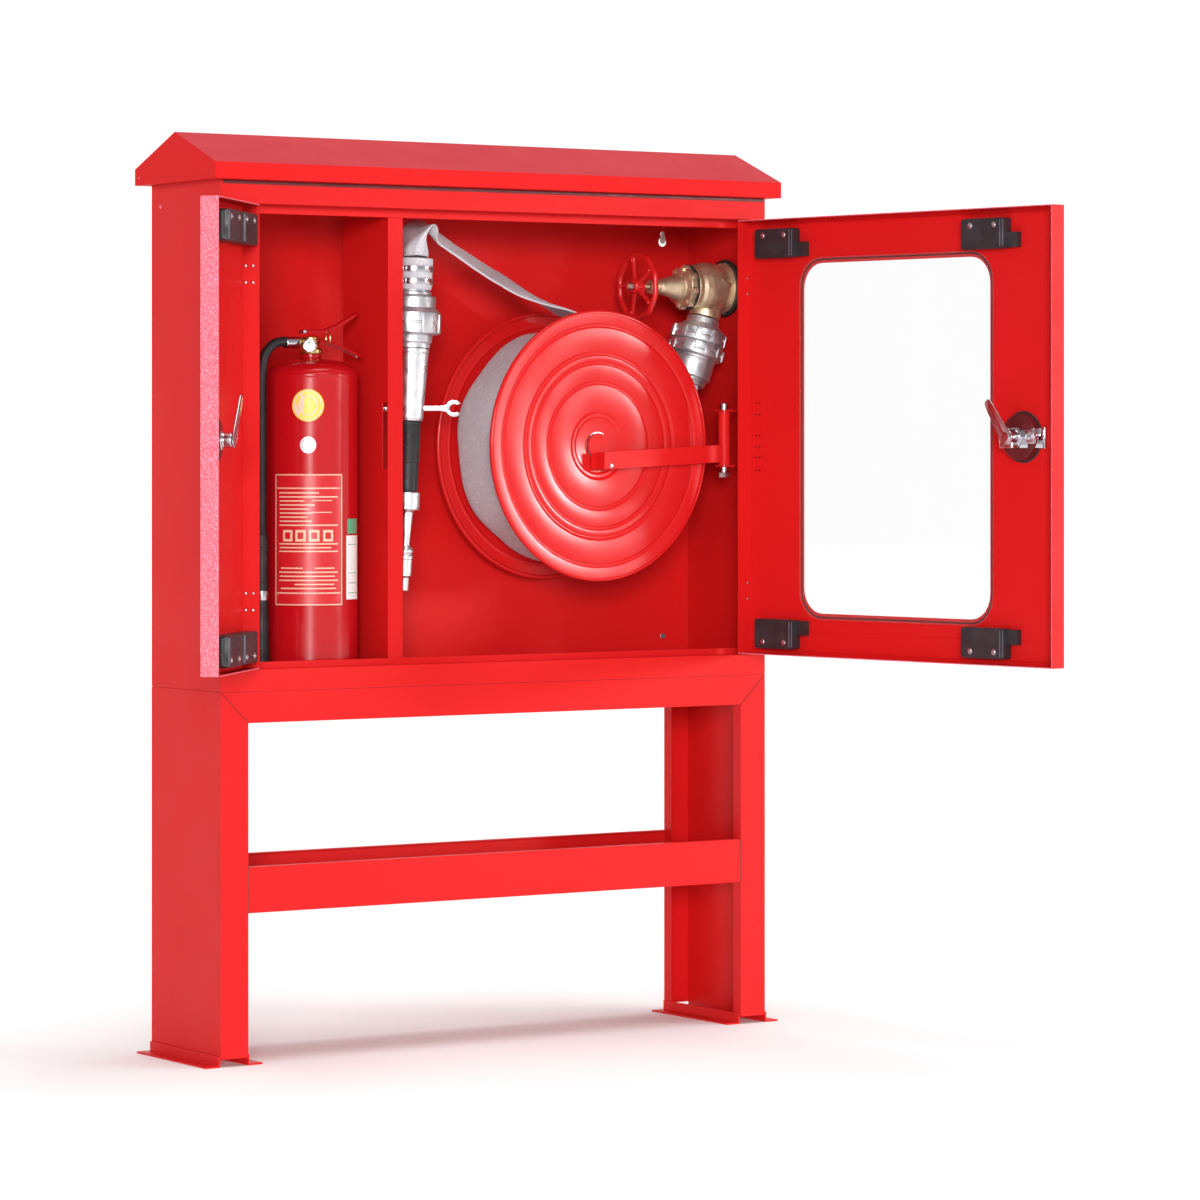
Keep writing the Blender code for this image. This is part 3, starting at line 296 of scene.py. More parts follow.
LOOKS = {
    "red": red_enamel("red_enamel"),
    "roof": red_enamel("roof_enamel", dust=0.65, gloss=0.46, shine=0.07),
    "disc": red_enamel("disc_enamel", gloss=0.19, shine=0.30, peel=0.05, base=(0.60, 0.0095, 0.0105, 1)),
    # The extinguisher's enamel, darker than the casing's red as painted shade of the left door over its
    # compartment
    "cylinder": red_enamel("cylinder_enamel_shaded", gloss=0.17, shine=0.40, peel=0.05, base=(0.46, 0.0045, 0.0085, 1)),
    "brass": cast_metal("cast_brass", (0.78, 0.62, 0.42, 1), (0.42, 0.30, 0.20, 1), 0.38, 320.0, 0.85),
    "alloy": cast_metal("cast_alloy", (0.66, 0.665, 0.69, 1), (0.40, 0.41, 0.44, 1), 0.38, 420.0, 0.9),
    "tube": turned_metal("turned_alloy", "Z"),
    "chrome": plated("bright_chrome"),
    "steel": plated("zinc_steel", (0.50, 0.50, 0.53, 1), 0.28),
    "black": moulded("black_plastic", (0.018, 0.017, 0.020, 1), 0.42),
    "rubber": moulded("black_rubber", (0.012, 0.012, 0.013, 1), 0.50, 300.0),
    # A shaded copy of the red enamel: painted shade in gaps, seams, lock dishes and vent holes
    "dark": moulded("painted_shade_red", (0.10, 0.004, 0.006, 1), 0.45),
    "hose": woven("woven_jacket", "Y", "X"),
    "pane": clear_pane(),
    "pack": woven("wound_jacket", "Z", "Y"),
    "lead": woven("lead_jacket", "Y", "X"),
    # Painted highlight: the pale fold look on door returns, lips and rivet heads
    "edge": painted_highlight_look(),
    "wheel": red_enamel("wheel_enamel", gloss=0.28, shine=0.6),
    "gold": cast_metal("bright_brass", (0.72, 0.54, 0.24, 1), (0.50, 0.34, 0.14, 1), 0.28, 320.0),
    # Grey plastic: the hole plugs' own colour, and a painted highlight on the corner blocks
    "block_edge": moulded("block_edge", (0.10, 0.095, 0.12, 1), 0.40),
    "yellow": label_print("yellow_label", (0.80, 0.62, 0.04, 1), (0.45, 0.30, 0.03, 1), 160.0),
    "beige": label_print("beige_print", (0.72, 0.50, 0.36, 1), (0.55, 0.30, 0.22, 1), 240.0),
    "label_red": label_print("label_ground", (0.56, 0.010, 0.016, 1), (0.46, 0.008, 0.012, 1), 60.0),
    "white": label_print("white_tag", (0.80, 0.80, 0.78, 1), (0.55, 0.60, 0.55, 1), 120.0),
    "green": label_print("green_patch", (0.10, 0.36, 0.20, 1), (0.05, 0.20, 0.10, 1), 120.0),
}


# ---- shapes ----------------------------------------------------------------------------------------------

def mm(*points):
    """Points given in millimetres, in metres."""
    return [tuple(value / 1000 for value in point) for point in points]


def translated(x, y, z):
    return Matrix.Translation((x, y, z))


def loft(rings, closed=False):
    count = len(rings[0])
    points = [point for ring in rings for point in ring]
    faces = []
    for level in range(len(rings) if closed else len(rings) - 1):
        start = level * count
        after = ((level + 1) % len(rings)) * count
        faces += [(start + i, start + (i + 1) % count, after + (i + 1) % count, after + i) for i in range(count)]
    if not closed:
        faces += [tuple(range(count)), tuple(range(len(points) - count, len(points)))]
    return points, faces


def turned(profile, segments=64, ring=False):
    rings = []
    for radius, height in profile:
        angles = [2 * math.pi * i / segments for i in range(segments)]
        rings.append([(radius * math.cos(a), radius * math.sin(a), height) for a in angles])
    return loft(rings, closed=ring)


def prism(outline, axis, low, high):
    place = {"X": lambda a, b, c: (c, a, b), "Y": lambda a, b, c: (a, c, b), "Z": lambda a, b, c: (a, b, c)}[axis]
    count = len(outline)
    points = [place(a, b, level) for level in (low, high) for a, b in outline]
    faces = [tuple(range(count)), tuple(range(count, 2 * count))]
    faces += [(i, (i + 1) % count, (i + 1) % count + count, i + count) for i in range(count)]
    return points, faces


def box(x0, x1, y0, y1, z0, z1):
    return prism([(x0, y0), (x1, y0), (x1, y1), (x0, y1)], "Z", z0, z1)


def moved(shape, matrix):
    points, faces = shape
    return [tuple(matrix @ Vector(point)) for point in points], faces


def joined(*shapes):
    points = []
    faces = []
    for some_points, some_faces in shapes:
        faces += [tuple(i + len(points) for i in face) for face in some_faces]
        points += list(some_points)
    return points, faces


def arc(centre, radius, start, end, steps):
    angles = [math.radians(start + (end - start) * i / steps) for i in range(steps + 1)]
    return [(centre[0] + radius * math.cos(a), centre[1] + radius * math.sin(a)) for a in angles]


def rounded(x0, x1, z0, z1, radius, steps=8):
    corners = ((x1, z0, -90), (x1, z1, 0), (x0, z1, 90), (x0, z0, 180))
    outline = []
    for x, z, start in corners:
        centre = (x + (radius if x == x0 else -radius), z + (radius if z == z0 else -radius))
        outline += arc(centre, radius, start, start + 90, steps)
    return outline


def smooth_path(points, steps):
    points = [Vector(p) for p in points]
    padded = [2 * points[0] - points[1]] + points + [2 * points[-1] - points[-2]]
    path = []
    for a, b, c, d in zip(padded, padded[1:], padded[2:], padded[3:]):
        for i in range(steps):
            t = i / steps
            path.append(0.5 * (2 * b + (c - a) * t + (2 * a - 5 * b + 4 * c - d) * t * t
                               + (3 * b - a - 3 * c + d) * t ** 3))
    return path + [points[-1]]


def swept(path, section, across=Vector((0, 1, 0))):
    rings = []
    for i, point in enumerate(path):
        tangent = (path[min(i + 1, len(path) - 1)] - path[max(i - 1, 0)]).normalized()
        up = tangent.cross(across).normalized()
        side = up.cross(tangent).normalized()
        rings.append([tuple(point + side * w + up * h) for w, h in section(i / (len(path) - 1))])
    return loft(rings)


def screw_head(radius, height):
    """A domed head with a round recess in its top, standing on Z = 0."""
    dome = [(radius, 0.0), (radius, height * 0.35), (radius * 0.85, height * 0.75), (radius * 0.5, height)]
    slot = [(radius * 0.35, height), (radius * 0.30, height * 0.55), (radius * 0.02, height * 0.50)]
    return turned(dome + slot, 20)


def rivet(radius, height):
    return turned([(radius, 0.0), (radius * 0.92, height * 0.55), (radius * 0.6, height * 0.9),
                   (radius * 0.1, height)], 16)


# ---- pieces ----------------------------------------------------------------------------------------------

BODY_OF = {node: body for body, nodes in frame["record"]["behaviour"]["bodies"].items() for node in nodes}
SLOT_OF = {part["node"]: part["material_slot"] for part in frame["record"]["subparts"]}


def piece(name, shape, look, body, at=CABINET, stands_for=(), crease=32):
    """Makes a mesh object of a shape, gives it a look and lets it ride on a body."""
    points, faces = shape
    mesh = bpy.data.meshes.new(name)
    mesh.from_pydata([tuple(at @ Vector(p)) for p in points], [], faces)
    finish_mesh(mesh, 0.0, crease)
    made = bpy.data.objects.new(name, mesh)
    bpy.context.scene.collection.objects.link(made)
    made.data.materials.append(LOOKS[look])
    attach(made, body)
    if stands_for:
        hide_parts(*stands_for)


def finish_mesh(mesh, bevel, crease):
    work = bmesh.new()
    work.from_mesh(mesh)
    bmesh.ops.remove_doubles(work, verts=work.verts, dist=1e-6)
    bmesh.ops.recalc_face_normals(work, faces=work.faces)
    if bevel:
        bmesh.ops.join_triangles(work, faces=work.faces, angle_face_threshold=math.radians(1.5),
                                 angle_shape_threshold=math.radians(179))
        edges = [e for e in work.edges if e.is_manifold and e.calc_face_angle(0) > math.radians(30)]
        bmesh.ops.bevel(work, geom=edges, offset=bevel, segments=3, profile=0.5, affect="EDGES",
                        clamp_overlap=True)
        bmesh.ops.recalc_face_normals(work, faces=work.faces)
    work.to_mesh(mesh)
    work.free()
    mesh.shade_smooth()
    mesh.set_sharp_from_angle(angle=math.radians(crease))


def refined(node, look, bevel, crease=40):
    """A CAD node's own shape with its folds and edges rounded."""
    source = frame["nodes"][node]
    source = source if hasattr(source, "data") else bpy.data.objects[node]
    mesh = source.data.copy()
    mesh.materials.clear()
    finish_mesh(mesh, bevel, crease)
    made = bpy.data.objects.new("fine_" + node, mesh)
    bpy.context.scene.collection.objects.link(made)
    made.data.materials.append(LOOKS[look])
    door = LEFT_DOOR if node.startswith("left_door") else RIGHT_DOOR if node.startswith("right_door") else None
    if door:
        # Painted highlight: the left door's free-edge return and the thin lips at the back of both doors' returns
        # take the pale fold look
        made.data.materials.append(LOOKS["edge"])
        back = door.inverted()
        for face in mesh.polygons:
            spot = back @ face.center
            free = node.startswith("left") and spot.x > 0.2662 and abs(spot.z - 0.99) < 0.364
            if free or (spot.y > DOOR_BACK - 0.0009 and abs(spot.x) > 0.01):
                face.material_index = 1
    if node.startswith("left_block"):
        back = LEFT_DOOR.inverted()
        for vertex in mesh.vertices:
            spot = back @ vertex.co
            if spot.y > 0.0148 and spot.x < 0.1995:
                spot.y += LEFT_BLOCK_EXTRA
                vertex.co = LEFT_DOOR @ spot
    step = made.modifiers.new("even_shading", "WEIGHTED_NORMAL")
    step.keep_sharp = True
    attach(made, BODY_OF[node])
    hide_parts(node)


def build_sheet_metal():
    for node in ("left_leg", "right_leg", "stand_top_rail", "stand_lower_rail", "front_frame", "divider"):
        refined(node, "red", 0.00065)
    for node in ("left_side_panel", "right_side_panel", "back_panel", "floor_panel", "ceiling_panel"):
        refined(node, "red", 0.00045)
    for side in ("left", "right"):
        for place in ("inner", "outer"):
            refined(f"{side}_foot_{place}", "red", 0.0010)
    refined("roof_cover", "roof", 0.00060)
    refined("reel_bracket", "red", 0.0008)
    refined("reel_arm", "red", 0.0009)
    refined("nozzle_bracket", "red", 0.0005)
    refined("left_door_leaf", "red", 0.00060)
    refined("right_door_leaf", "red", 0.00060)
    refined("window_pane", "pane", 0.0006)
    for node in BODY_OF:
        if "_block_" in node:
            refined(node, "black", 0.0012)


# ---- stage -----------------------------------------------------------------------------------------------

def build_stage():
    scene = bpy.context.scene
    data = bpy.data.cameras.new("camera")
    data.lens = LENS
    data.sensor_width = 36.0
    data.shift_y = FRAMING_SHIFT
    data.clip_end = 60.0
    camera = bpy.data.objects.new("camera", data)
    camera.location = CABINET @ Vector(CAMERA_AT)
    camera.rotation_euler = (math.radians(90), 0, math.radians(-CAMERA_TURN))
    scene.collection.objects.link(camera)
    scene.camera = camera

    mesh = bpy.data.meshes.new("floor")
    mesh.from_pydata([(-30, -30, 0), (30, -30, 0), (30, 30, 0), (-30, 30, 0)], [], [(0, 1, 2, 3)])
    floor = bpy.data.objects.new("floor", mesh)
    scene.collection.objects.link(floor)
    paper = Look("pale_floor", (0.97, 0.97, 0.97, 1), 0.90, specular_ior_level=0.1)
    paper.tint(paper.ramp(paper.noise(1.5, 3.0), 0.3, 0.7, 0.0, 0.3), (0.95, 0.95, 0.95, 1))
    floor.data.materials.append(paper.made)

    # A white surround, brightest ahead of the camera and less bright overhead, and three soft lamps
    world = bpy.data.worlds.new("studio")
    world.use_nodes = True
    tree = world.node_tree
    around = tree.nodes.new("ShaderNodeTexCoord").outputs["Generated"]
    split = tree.nodes.new("ShaderNodeSeparateXYZ")
    fade = tree.nodes.new("ShaderNodeMapRange")
    for key, value in (("From Min", 0.12), ("From Max", 0.50), ("To Min", 1.0), ("To Max", 0.70)):
        fade.inputs[key].default_value = value
    tree.links.new(around, split.inputs[0])
    tree.links.new(split.outputs["Z"], fade.inputs["Value"])
    side = tree.nodes.new("ShaderNodeMapRange")
    ahead = tree.nodes.new("ShaderNodeVectorMath")
    ahead.operation = "DOT_PRODUCT"
    ahead.inputs[1].default_value = VIEW
    tree.links.new(around, ahead.inputs[0])
    for key, value in (("From Min", 0.25), ("From Max", 0.92), ("To Min", 0.50), ("To Max", 1.06)):
        side.inputs[key].default_value = value
    tree.links.new(ahead.outputs["Value"], side.inputs["Value"])
    both = tree.nodes.new("ShaderNodeMath")
    both.operation = "MULTIPLY"
    tree.links.new(fade.outputs["Result"], both.inputs[0])
    tree.links.new(side.outputs["Result"], both.inputs[1])
    tree.nodes["Background"].inputs["Color"].default_value = (1, 1, 1, 1)
    tree.links.new(both.outputs[0], tree.nodes["Background"].inputs["Strength"])
    scene.world = world
    lamps = (("key", (-0.52, -0.83, 0.14), 16, 2.30), ("fill", (0.74, -0.66, 0.10), 9, 1.15),
             ("top", (0.05, -0.10, 1.00), 40, 1.85))
    for name, toward, spread, power in lamps:
        lamp = bpy.data.lights.new(name, "SUN")
        lamp.angle = math.radians(spread)
        lamp.energy = power
        made = bpy.data.objects.new(name, lamp)
        made.location = Vector(toward) * 5
        made.rotation_euler = Vector(toward).to_track_quat("Z", "Y").to_euler()
        scene.collection.objects.link(made)
    scene.view_settings.view_transform = "Standard"


def filleted(profile, size, steps=3, closed=False):
    """Rounds the corners of a turned profile."""
    count = len(profile)
    smooth = []
    for i, point in enumerate(profile):
        here = Vector(point)
        if not closed and i in (0, count - 1):
            smooth.append(tuple(here))
            continue
        before = Vector(profile[i - 1]) - here
        after = Vector(profile[(i + 1) % count]) - here
        start = here + before.normalized() * min(size, before.length * 0.45)
        end = here + after.normalized() * min(size, after.length * 0.45)
        for k in range(steps + 1):
            t = k / steps
            smooth.append(tuple(start.lerp(here, t).lerp(here.lerp(end, t), t)))
    return smooth


def spun(profile, fillet, segments, ring=False):
    """A turned shape with the corners of its profile rounded."""
    return turned(filleted(profile, fillet, closed=ring), segments, ring=ring)


def eased(shape, size, segments=2):
    """The same shape with its sharp edges rounded."""
    mesh = bpy.data.meshes.new("eased")
    mesh.from_pydata([tuple(p) for p in shape[0]], [], shape[1])
    work = bmesh.new()
    work.from_mesh(mesh)
    bmesh.ops.recalc_face_normals(work, faces=work.faces)
    edges = [e for e in work.edges if e.is_manifold and e.calc_face_angle(0) > math.radians(30)]
    bmesh.ops.bevel(work, geom=edges, offset=size, segments=segments, profile=0.5, affect="EDGES",
                    clamp_overlap=True)
    work.verts.index_update()
    made = [tuple(v.co) for v in work.verts], [tuple(v.index for v in f.verts) for f in work.faces]
    work.free()
    bpy.data.meshes.remove(mesh)
    return made


def tube(path, radius, segments=10):
    ring = [(radius * math.cos(2 * math.pi * i / segments), radius * math.sin(2 * math.pi * i / segments))
            for i in range(segments)]
    return swept(path, lambda t: ring)


def ring_of(shape, count, start=0.0):
    turns = [Matrix.Rotation(start + 2 * math.pi * i / count, 4, "Z") for i in range(count)]
    return joined(*[moved(shape, turn) for turn in turns])


# ---- casing and doors ------------------------------------------------------------------------------------

def build_casing_details():
    # Rivets low on the roof's gable ends and high on the side panels, pale as a painted highlight
    marks = []
    (left, _, _), (right, _, _) = (CABINET.inverted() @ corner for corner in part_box("roof_cover"))
    for x, wall, turn in ((left, 0.0, -math.pi / 2), (right, WIDTH, math.pi / 2)):
        inward = math.copysign(0.0008, turn)
        marks.append(moved(rivet(0.0030, 0.0010), translated(x - inward, DEPTH + 0.006, 1.4090)
                           @ Matrix.Rotation(turn, 4, "Y")))
        marks.append(moved(rivet(0.0034, 0.0012), translated(wall - inward * 0.2, DEPTH - 0.030, 1.3620)
                           @ Matrix.Rotation(turn, 4, "Y")))
    piece("roof_rivets", joined(*marks), "edge", "cabinet")
    # Painted shadow: a dark strip in the gap under the fascia
    strip = box(0.004, WIDTH - 0.004, -0.0006, 0.0004, 1.3905, 1.3965)
    piece("fascia_shadow", eased(strip, 0.0002), "dark", "cabinet")
    for name, x in (("left", 0.0545), ("right", WIDTH - 0.0545)):
        plug = filleted(mm((0.2, 0), (4.6, 0), (4.6, 0.8), (3.4, 1.2), (0.2, 0.8)), 0.0002)
        piece(f"hole_plug_{name}", moved(turned(plug, 20), translated(x, DEPTH - 0.0027, 0.648)
                                         @ FROM_Y), "block_edge", "cabinet")
    marks = [moved(rivet(0.0030, 0.0012), translated(x, 0.0004, z) @ FROM_Y)
             for x in (0.009, WIDTH - 0.009) for z in (0.455, 0.170)]
    piece("leg_rivets", joined(*marks), "red", "cabinet")

    # Welded mitres between the legs and the top rail, and seams at the low rail, drawn as lines of painted shade
    seams = []
    for x, side in ((0.0, 1), (WIDTH, -1)):
        low = Vector((x + side * 0.050, -0.0002, 0.5400))
        high = Vector((x + side * 0.002, -0.0002, 0.5885))
        seams.append(tube([low, high], 0.0005, 6))
        for z in (0.2405, 0.3125):
            seams.append(tube([Vector((x + side * s, -0.0002, z)) for s in (0.0500, 0.0560)], 0.0004, 6))
        seams.append(tube([Vector((x + side * 0.0502, -0.0002, z)) for z in (0.2405, 0.3125)], 0.0005, 6))
    piece("stand_seam_shade", joined(*seams), "dark", "cabinet")

    # Painted shadow: a dark line in the gap where the casing stands on the stand
    piece("stand_gap_shadow", box(0.002, WIDTH - 0.002, 0.0006, 0.0012, 0.5896, 0.5904), "dark", "cabinet")

    # Sealing ring round the supply stub where it passes the side panel
    seal = mm((43.5, 1040), (48, 1040), (49, 1041.5), (49, 1045.5), (48, 1047), (43.5, 1047))
    piece("panel_seal", spun(seal, 0.001, 48, ring=True), "rubber", "cabinet", VALVE)

    # Keyholes in the back panel show as pale slots
    for name, x in (("left", 0.0545), ("right", 0.9955)):
        drop = arc((x, 1.3330), 0.0062, 150, 390, 14) + arc((x, 1.3455), 0.0030, 10, 170, 8)
        piece(f"keyhole_{name}", prism(drop, "Y", DEPTH - 0.00215, DEPTH - 0.00195), "white", "cabinet")


def on_door(door, sign, s, y, z):
    """A frame at a spot on a door, with Z along the door's own Y, toward its inner side."""
    return door @ translated(sign * s, y, z) @ TO_Y


def build_door_details(side, sign, door, length, lock, lever):
    body = f"{side}_door"
    # Rivets of the hinges on the hinge-side return
    marks = []
    for z in (1.2610, 1.2345, 0.7455, 0.7190):
        for y in ((0.0105,) if sign < 0 else (0.0105, 0.0225)):
            place = translated(sign * 0.0028, y, z) @ Matrix.Rotation(sign * math.pi / 2, 4, "Y")
            marks.append(moved(rivet(0.0026, 0.0014), place))
    piece(f"{body}_hinge_rivets", joined(*marks), "steel", body, door)

    # Pressed line round the stiffening fold, just inside the free and lower edges
    skin = DOOR_FACE + SHEET + 0.0001
    far = length - 0.044
    near, edge = 0.012, length - 0.006
    path = [Vector((sign * s, skin, z)) for s, z in ((near, DOOR_LOW + 0.008), (edge, DOOR_LOW + 0.008),
                                                     (edge, DOOR_HIGH - 0.008), (near, DOOR_HIGH - 0.008))]
    lines = [tube([path[i], path[i + 1]], 0.0011, 6) for i in range(3)]
    if side == "right":
        inner = [Vector((sign * 0.070, skin, DOOR_LOW + 0.041)), Vector((sign * far, skin, DOOR_LOW + 0.041)),
                 Vector((sign * far, skin, DOOR_HIGH - 0.041))]
        lines += [tube([inner[i], inner[i + 1]], 0.0009, 6) for i in range(2)]
    piece(f"{body}_fold_lines", joined(*lines), "red", body, door)

    if side == "right":
        # Vent holes drawn as dots of painted shade
        dot = turned([(0.0019, 0.0), (0.0019, 0.0003)], 12)
        dots = [moved(dot, translated(sign * s, skin - 0.0001, z) @ TO_Y)
                for s in (0.018, 0.0265) for z in (1.050, 1.030, 0.995, 0.975, 0.958, 0.936)]
        piece("right_door_vent_shade", joined(*dots), "dark", body, door)
        # Rubber bead that holds the pane
        outline = rounded(-0.5640, -0.1290, 0.6920, 1.2875, 0.0460)
        ring = [Vector((x, 0.0066, z)) for x, z in outline]
        bead = tube(ring + [ring[0]], 0.0012, 8)
        piece("pane_seal", bead, "rubber", body, door)

    # Lock: sunk dish, strap plate and cylinder
    s, z, plane = lock
    at = on_door(door, sign, s, 0, z)
    cup = [(0.0385, 0.0046), (0.0355, 0.0190), (0.0125, 0.0192), (0.0125, 0.0300), (0.0115, 0.0310),
           (0.0115, plane - 0.0015), (0.0105, plane - 0.0004), (0.0052, plane - 0.0004), (0.0052, 0.0170),
           (0.0335, 0.0170), (0.0365, 0.0046)]
    piece(f"turned_{side}_lock", spun(cup, 0.0009, 56, ring=True), "chrome", body, at,
          (f"{side}_lock",))
    dish = mm((38.8, 5), (36.2, 18.6), (35.2, 19.4), (14, 19.5))
    # The sunk dish is drawn in the dark red as painted shade
    piece(f"{side}_lock_dish_shade", turned(dish, 48), "dark", body, at)
    rim = mm((38.5, 6), (41, 6.2), (41.5, 7.2), (40.8, 8.2), (38.5, 8.4))
    piece(f"{side}_lock_rim", spun(rim, 0.0005, 48, ring=True), "black", body, at)
    strap = eased(prism(rounded(-0.0375, 0.0375, -0.0112, 0.0112, 0.0035, 4), "Z", 0.0196, 0.0222), 0.0006)
    tabs = [eased(box(-0.0405, -0.0365, -0.0100, 0.0100, 0.0080, 0.0222), 0.0008),
            eased(box(0.0365, 0.0405, -0.0100, 0.0100, 0.0080, 0.0222), 0.0008)]
    nuts = [moved(turned(mm((5.2, 0), (5.2, 3), (4, 4), (2.6, 4), (2.4, 6)), 6),
                  translated(x, 0, 0.0222)) for x in (-0.0260, 0.0260)]
    hexagon = moved(turned(mm((16.8, 0), (16.8, 5), (15, 6.2)), 6), translated(0, 0, 0.0222))
    piece(f"{side}_lock_strap", joined(strap, *tabs, *nuts, hexagon), "chrome", body, at, crease=25)

    # Bright case that bridges the dish, with the works showing above a plain lower plate
    if side == "right":
        outline = mm((-22, 16.5), (-22, 38.5), (-19.5, 40.5), (5, 40.5), (7.2, 38.5), (8.5, 24), (44, 11),
                     (48, 8.5), (48, 6.6), (32, 6.6), (32, 15.8), (28, 16.5))
        lower = eased(prism([(-x, y) for x, y in outline], "Z", -0.0175, -0.0054), 0.0008, 3)
        flange = eased(box(-0.0500, -0.0455, 0.0064, 0.0110, -0.0185, 0.0165), 0.0012, 3)
        ribs = [eased(box(-x - 0.0020, -x + 0.0020, low, high, -0.0060, 0.0110), 0.0012, 3)
                for x, low, high in ((0.020, 0.0162, 0.0215), (0.033, 0.0080, 0.0170))]
        case_at = door @ translated(sign * s, 0, z)
        piece("right_lock_case", joined(lower, flange, *ribs), "chrome", body, case_at, crease=30)
        knobs = [moved(turned(filleted(mm((6.2, 0), (7, 2), (6.6, 12), (4, 14), (0.4, 14.2)),
                                       0.0012), 28), translated(-x, y, 0.0) @ Matrix.Rotation(0.3, 4, "X"))
                 for x, y in ((0.0310, 0.0180), (-0.0130, 0.0300), (0.0410, 0.0140))]
        piece("right_lock_pins", joined(*knobs), "chrome", body, case_at)

    # Latch lever: a forged arm with a raised rib, a round boss, a shaft and a handle
    lean = door @ translated(sign * s, 0, z) @ Matrix.Rotation(-sign * math.radians(LEVER_LEAN), 4, "Y")
    blade = [(-0.0100, -0.008), (-0.005, -0.0110), (0.005, -0.0110), (0.0100, -0.008), (0.0108, 0.010),
             (0.0085, lever - 0.016), (0.0070, lever - 0.004), (0.0040, lever), (-0.0040, lever),
             (-0.0070, lever - 0.004), (-0.0085, lever - 0.016), (-0.0108, 0.010)]
    arm = joined(eased(prism(blade, "Y", plane, plane + 0.0030), 0.0008, 3),
                 eased(box(-0.0012, 0.0012, plane - 0.0012, plane + 0.0004, 0.006, lever - 0.012), 0.0005))
    boss = moved(turned(filleted(mm((9.5, 0), (9.5, 2.6), (8, 3.4), (1, 3.4)), 0.0006), 32),
                 translated(0, plane, 0) @ TO_Y)
    shaft = moved(turned([(0.0046, 0.010), (0.0046, plane)], 24), TO_Y)
    handle = eased(prism(rounded(-0.0065, 0.0065, -0.024, 0.024, 0.005, 6), "Y", 0.0052, 0.0150), 0.0014, 3)
    piece(f"forged_{side}_lever", joined(arm, boss, shaft, handle), "chrome", f"{side}_latch", lean,
          (f"{side}_latch_lever",))


def build_block_details():
    """Screws on each corner block, and two pale strips near its end as a painted highlight."""
    for z0, z1, row in ((0.6375, 0.6865, "lower"), (1.2925, 1.3415, "upper")):
        spots = (("right", -1, RIGHT_DOOR, 0.030, 0.124), ("right", -1, RIGHT_DOOR, 0.510, 0.606),
                 ("left", 1, LEFT_DOOR, 0.0055, 0.100), ("left", 1, LEFT_DOOR, 0.1055, 0.200))
        for number, (side, sign, door, s0, s1) in enumerate(spots):
            height = z1 - 0.011 if row == "upper" else z0 + 0.011
            top = DOOR_FACE + SHEET + 0.0154 + (LEFT_BLOCK_EXTRA if side == "left" else 0)
            heads = []
            for s in (s0 + 0.020, s1 - 0.024):
                heads.append(moved(screw_head(0.0036, 0.0016), translated(sign * s, top, height) @ TO_Y))
                washer = turned(filleted(mm((5, 0), (5, 0.6), (3, 0.8)), 0.0002), 20)
                heads.append(moved(washer, translated(sign * s, top, height) @ TO_Y))
            piece(f"block_screws_{side}_{row}_{number}", joined(*heads), "steel", f"{side}_door", door)
            # Pale strips near the block's end: a painted highlight
            ribs = []
            for s in (s1 - 0.0035, s1 - 0.0095):
                x0, x1 = sorted((sign * s, sign * (s - 0.0016)))
                ribs.append(eased(box(x0, x1, top - 0.0004, top + 0.0010, z0 + 0.003, z1 - 0.003), 0.0004))
            piece(f"block_ribs_{side}_{row}_{number}", joined(*ribs), "block_edge", f"{side}_door", door)


# ---- reel ------------------------------------------------------------------------------------------------

def disc_profile(front, out):
    steps = ((0.975, 0.0034), (0.900, 0.0036), (0.890, 0.0050), (0.880, 0.0050), (0.868, 0.0036), (0.700, 0.0042),
             (0.682, 0.0062), (0.672, 0.0062), (0.662, 0.0048), (0.625, 0.0050), (0.615, 0.0066), (0.606, 0.0066),
             (0.596, 0.0052), (0.480, 0.0060), (0.468, 0.0076), (0.458, 0.0076), (0.448, 0.0062), (0.255, 0.0074),
             (0.235, 0.0095), (0.215, 0.0095), (0.200, 0.0110), (0.050, 0.0120))
    face = filleted([(DISC_RADIUS * r, front - out * depth) for r, depth in steps], 0.0010, 2)
    back = [(r, y - out * SHEET) for r, y in reversed(face)]
    bead = arc((DISC_RADIUS - 0.0042, front - out * 0.0042), 0.0042, out * 100, -out * 150, 14)
    return back[:-1] + [(face[0][0], face[0][1] - out * SHEET)] + list(reversed(bead)) + face


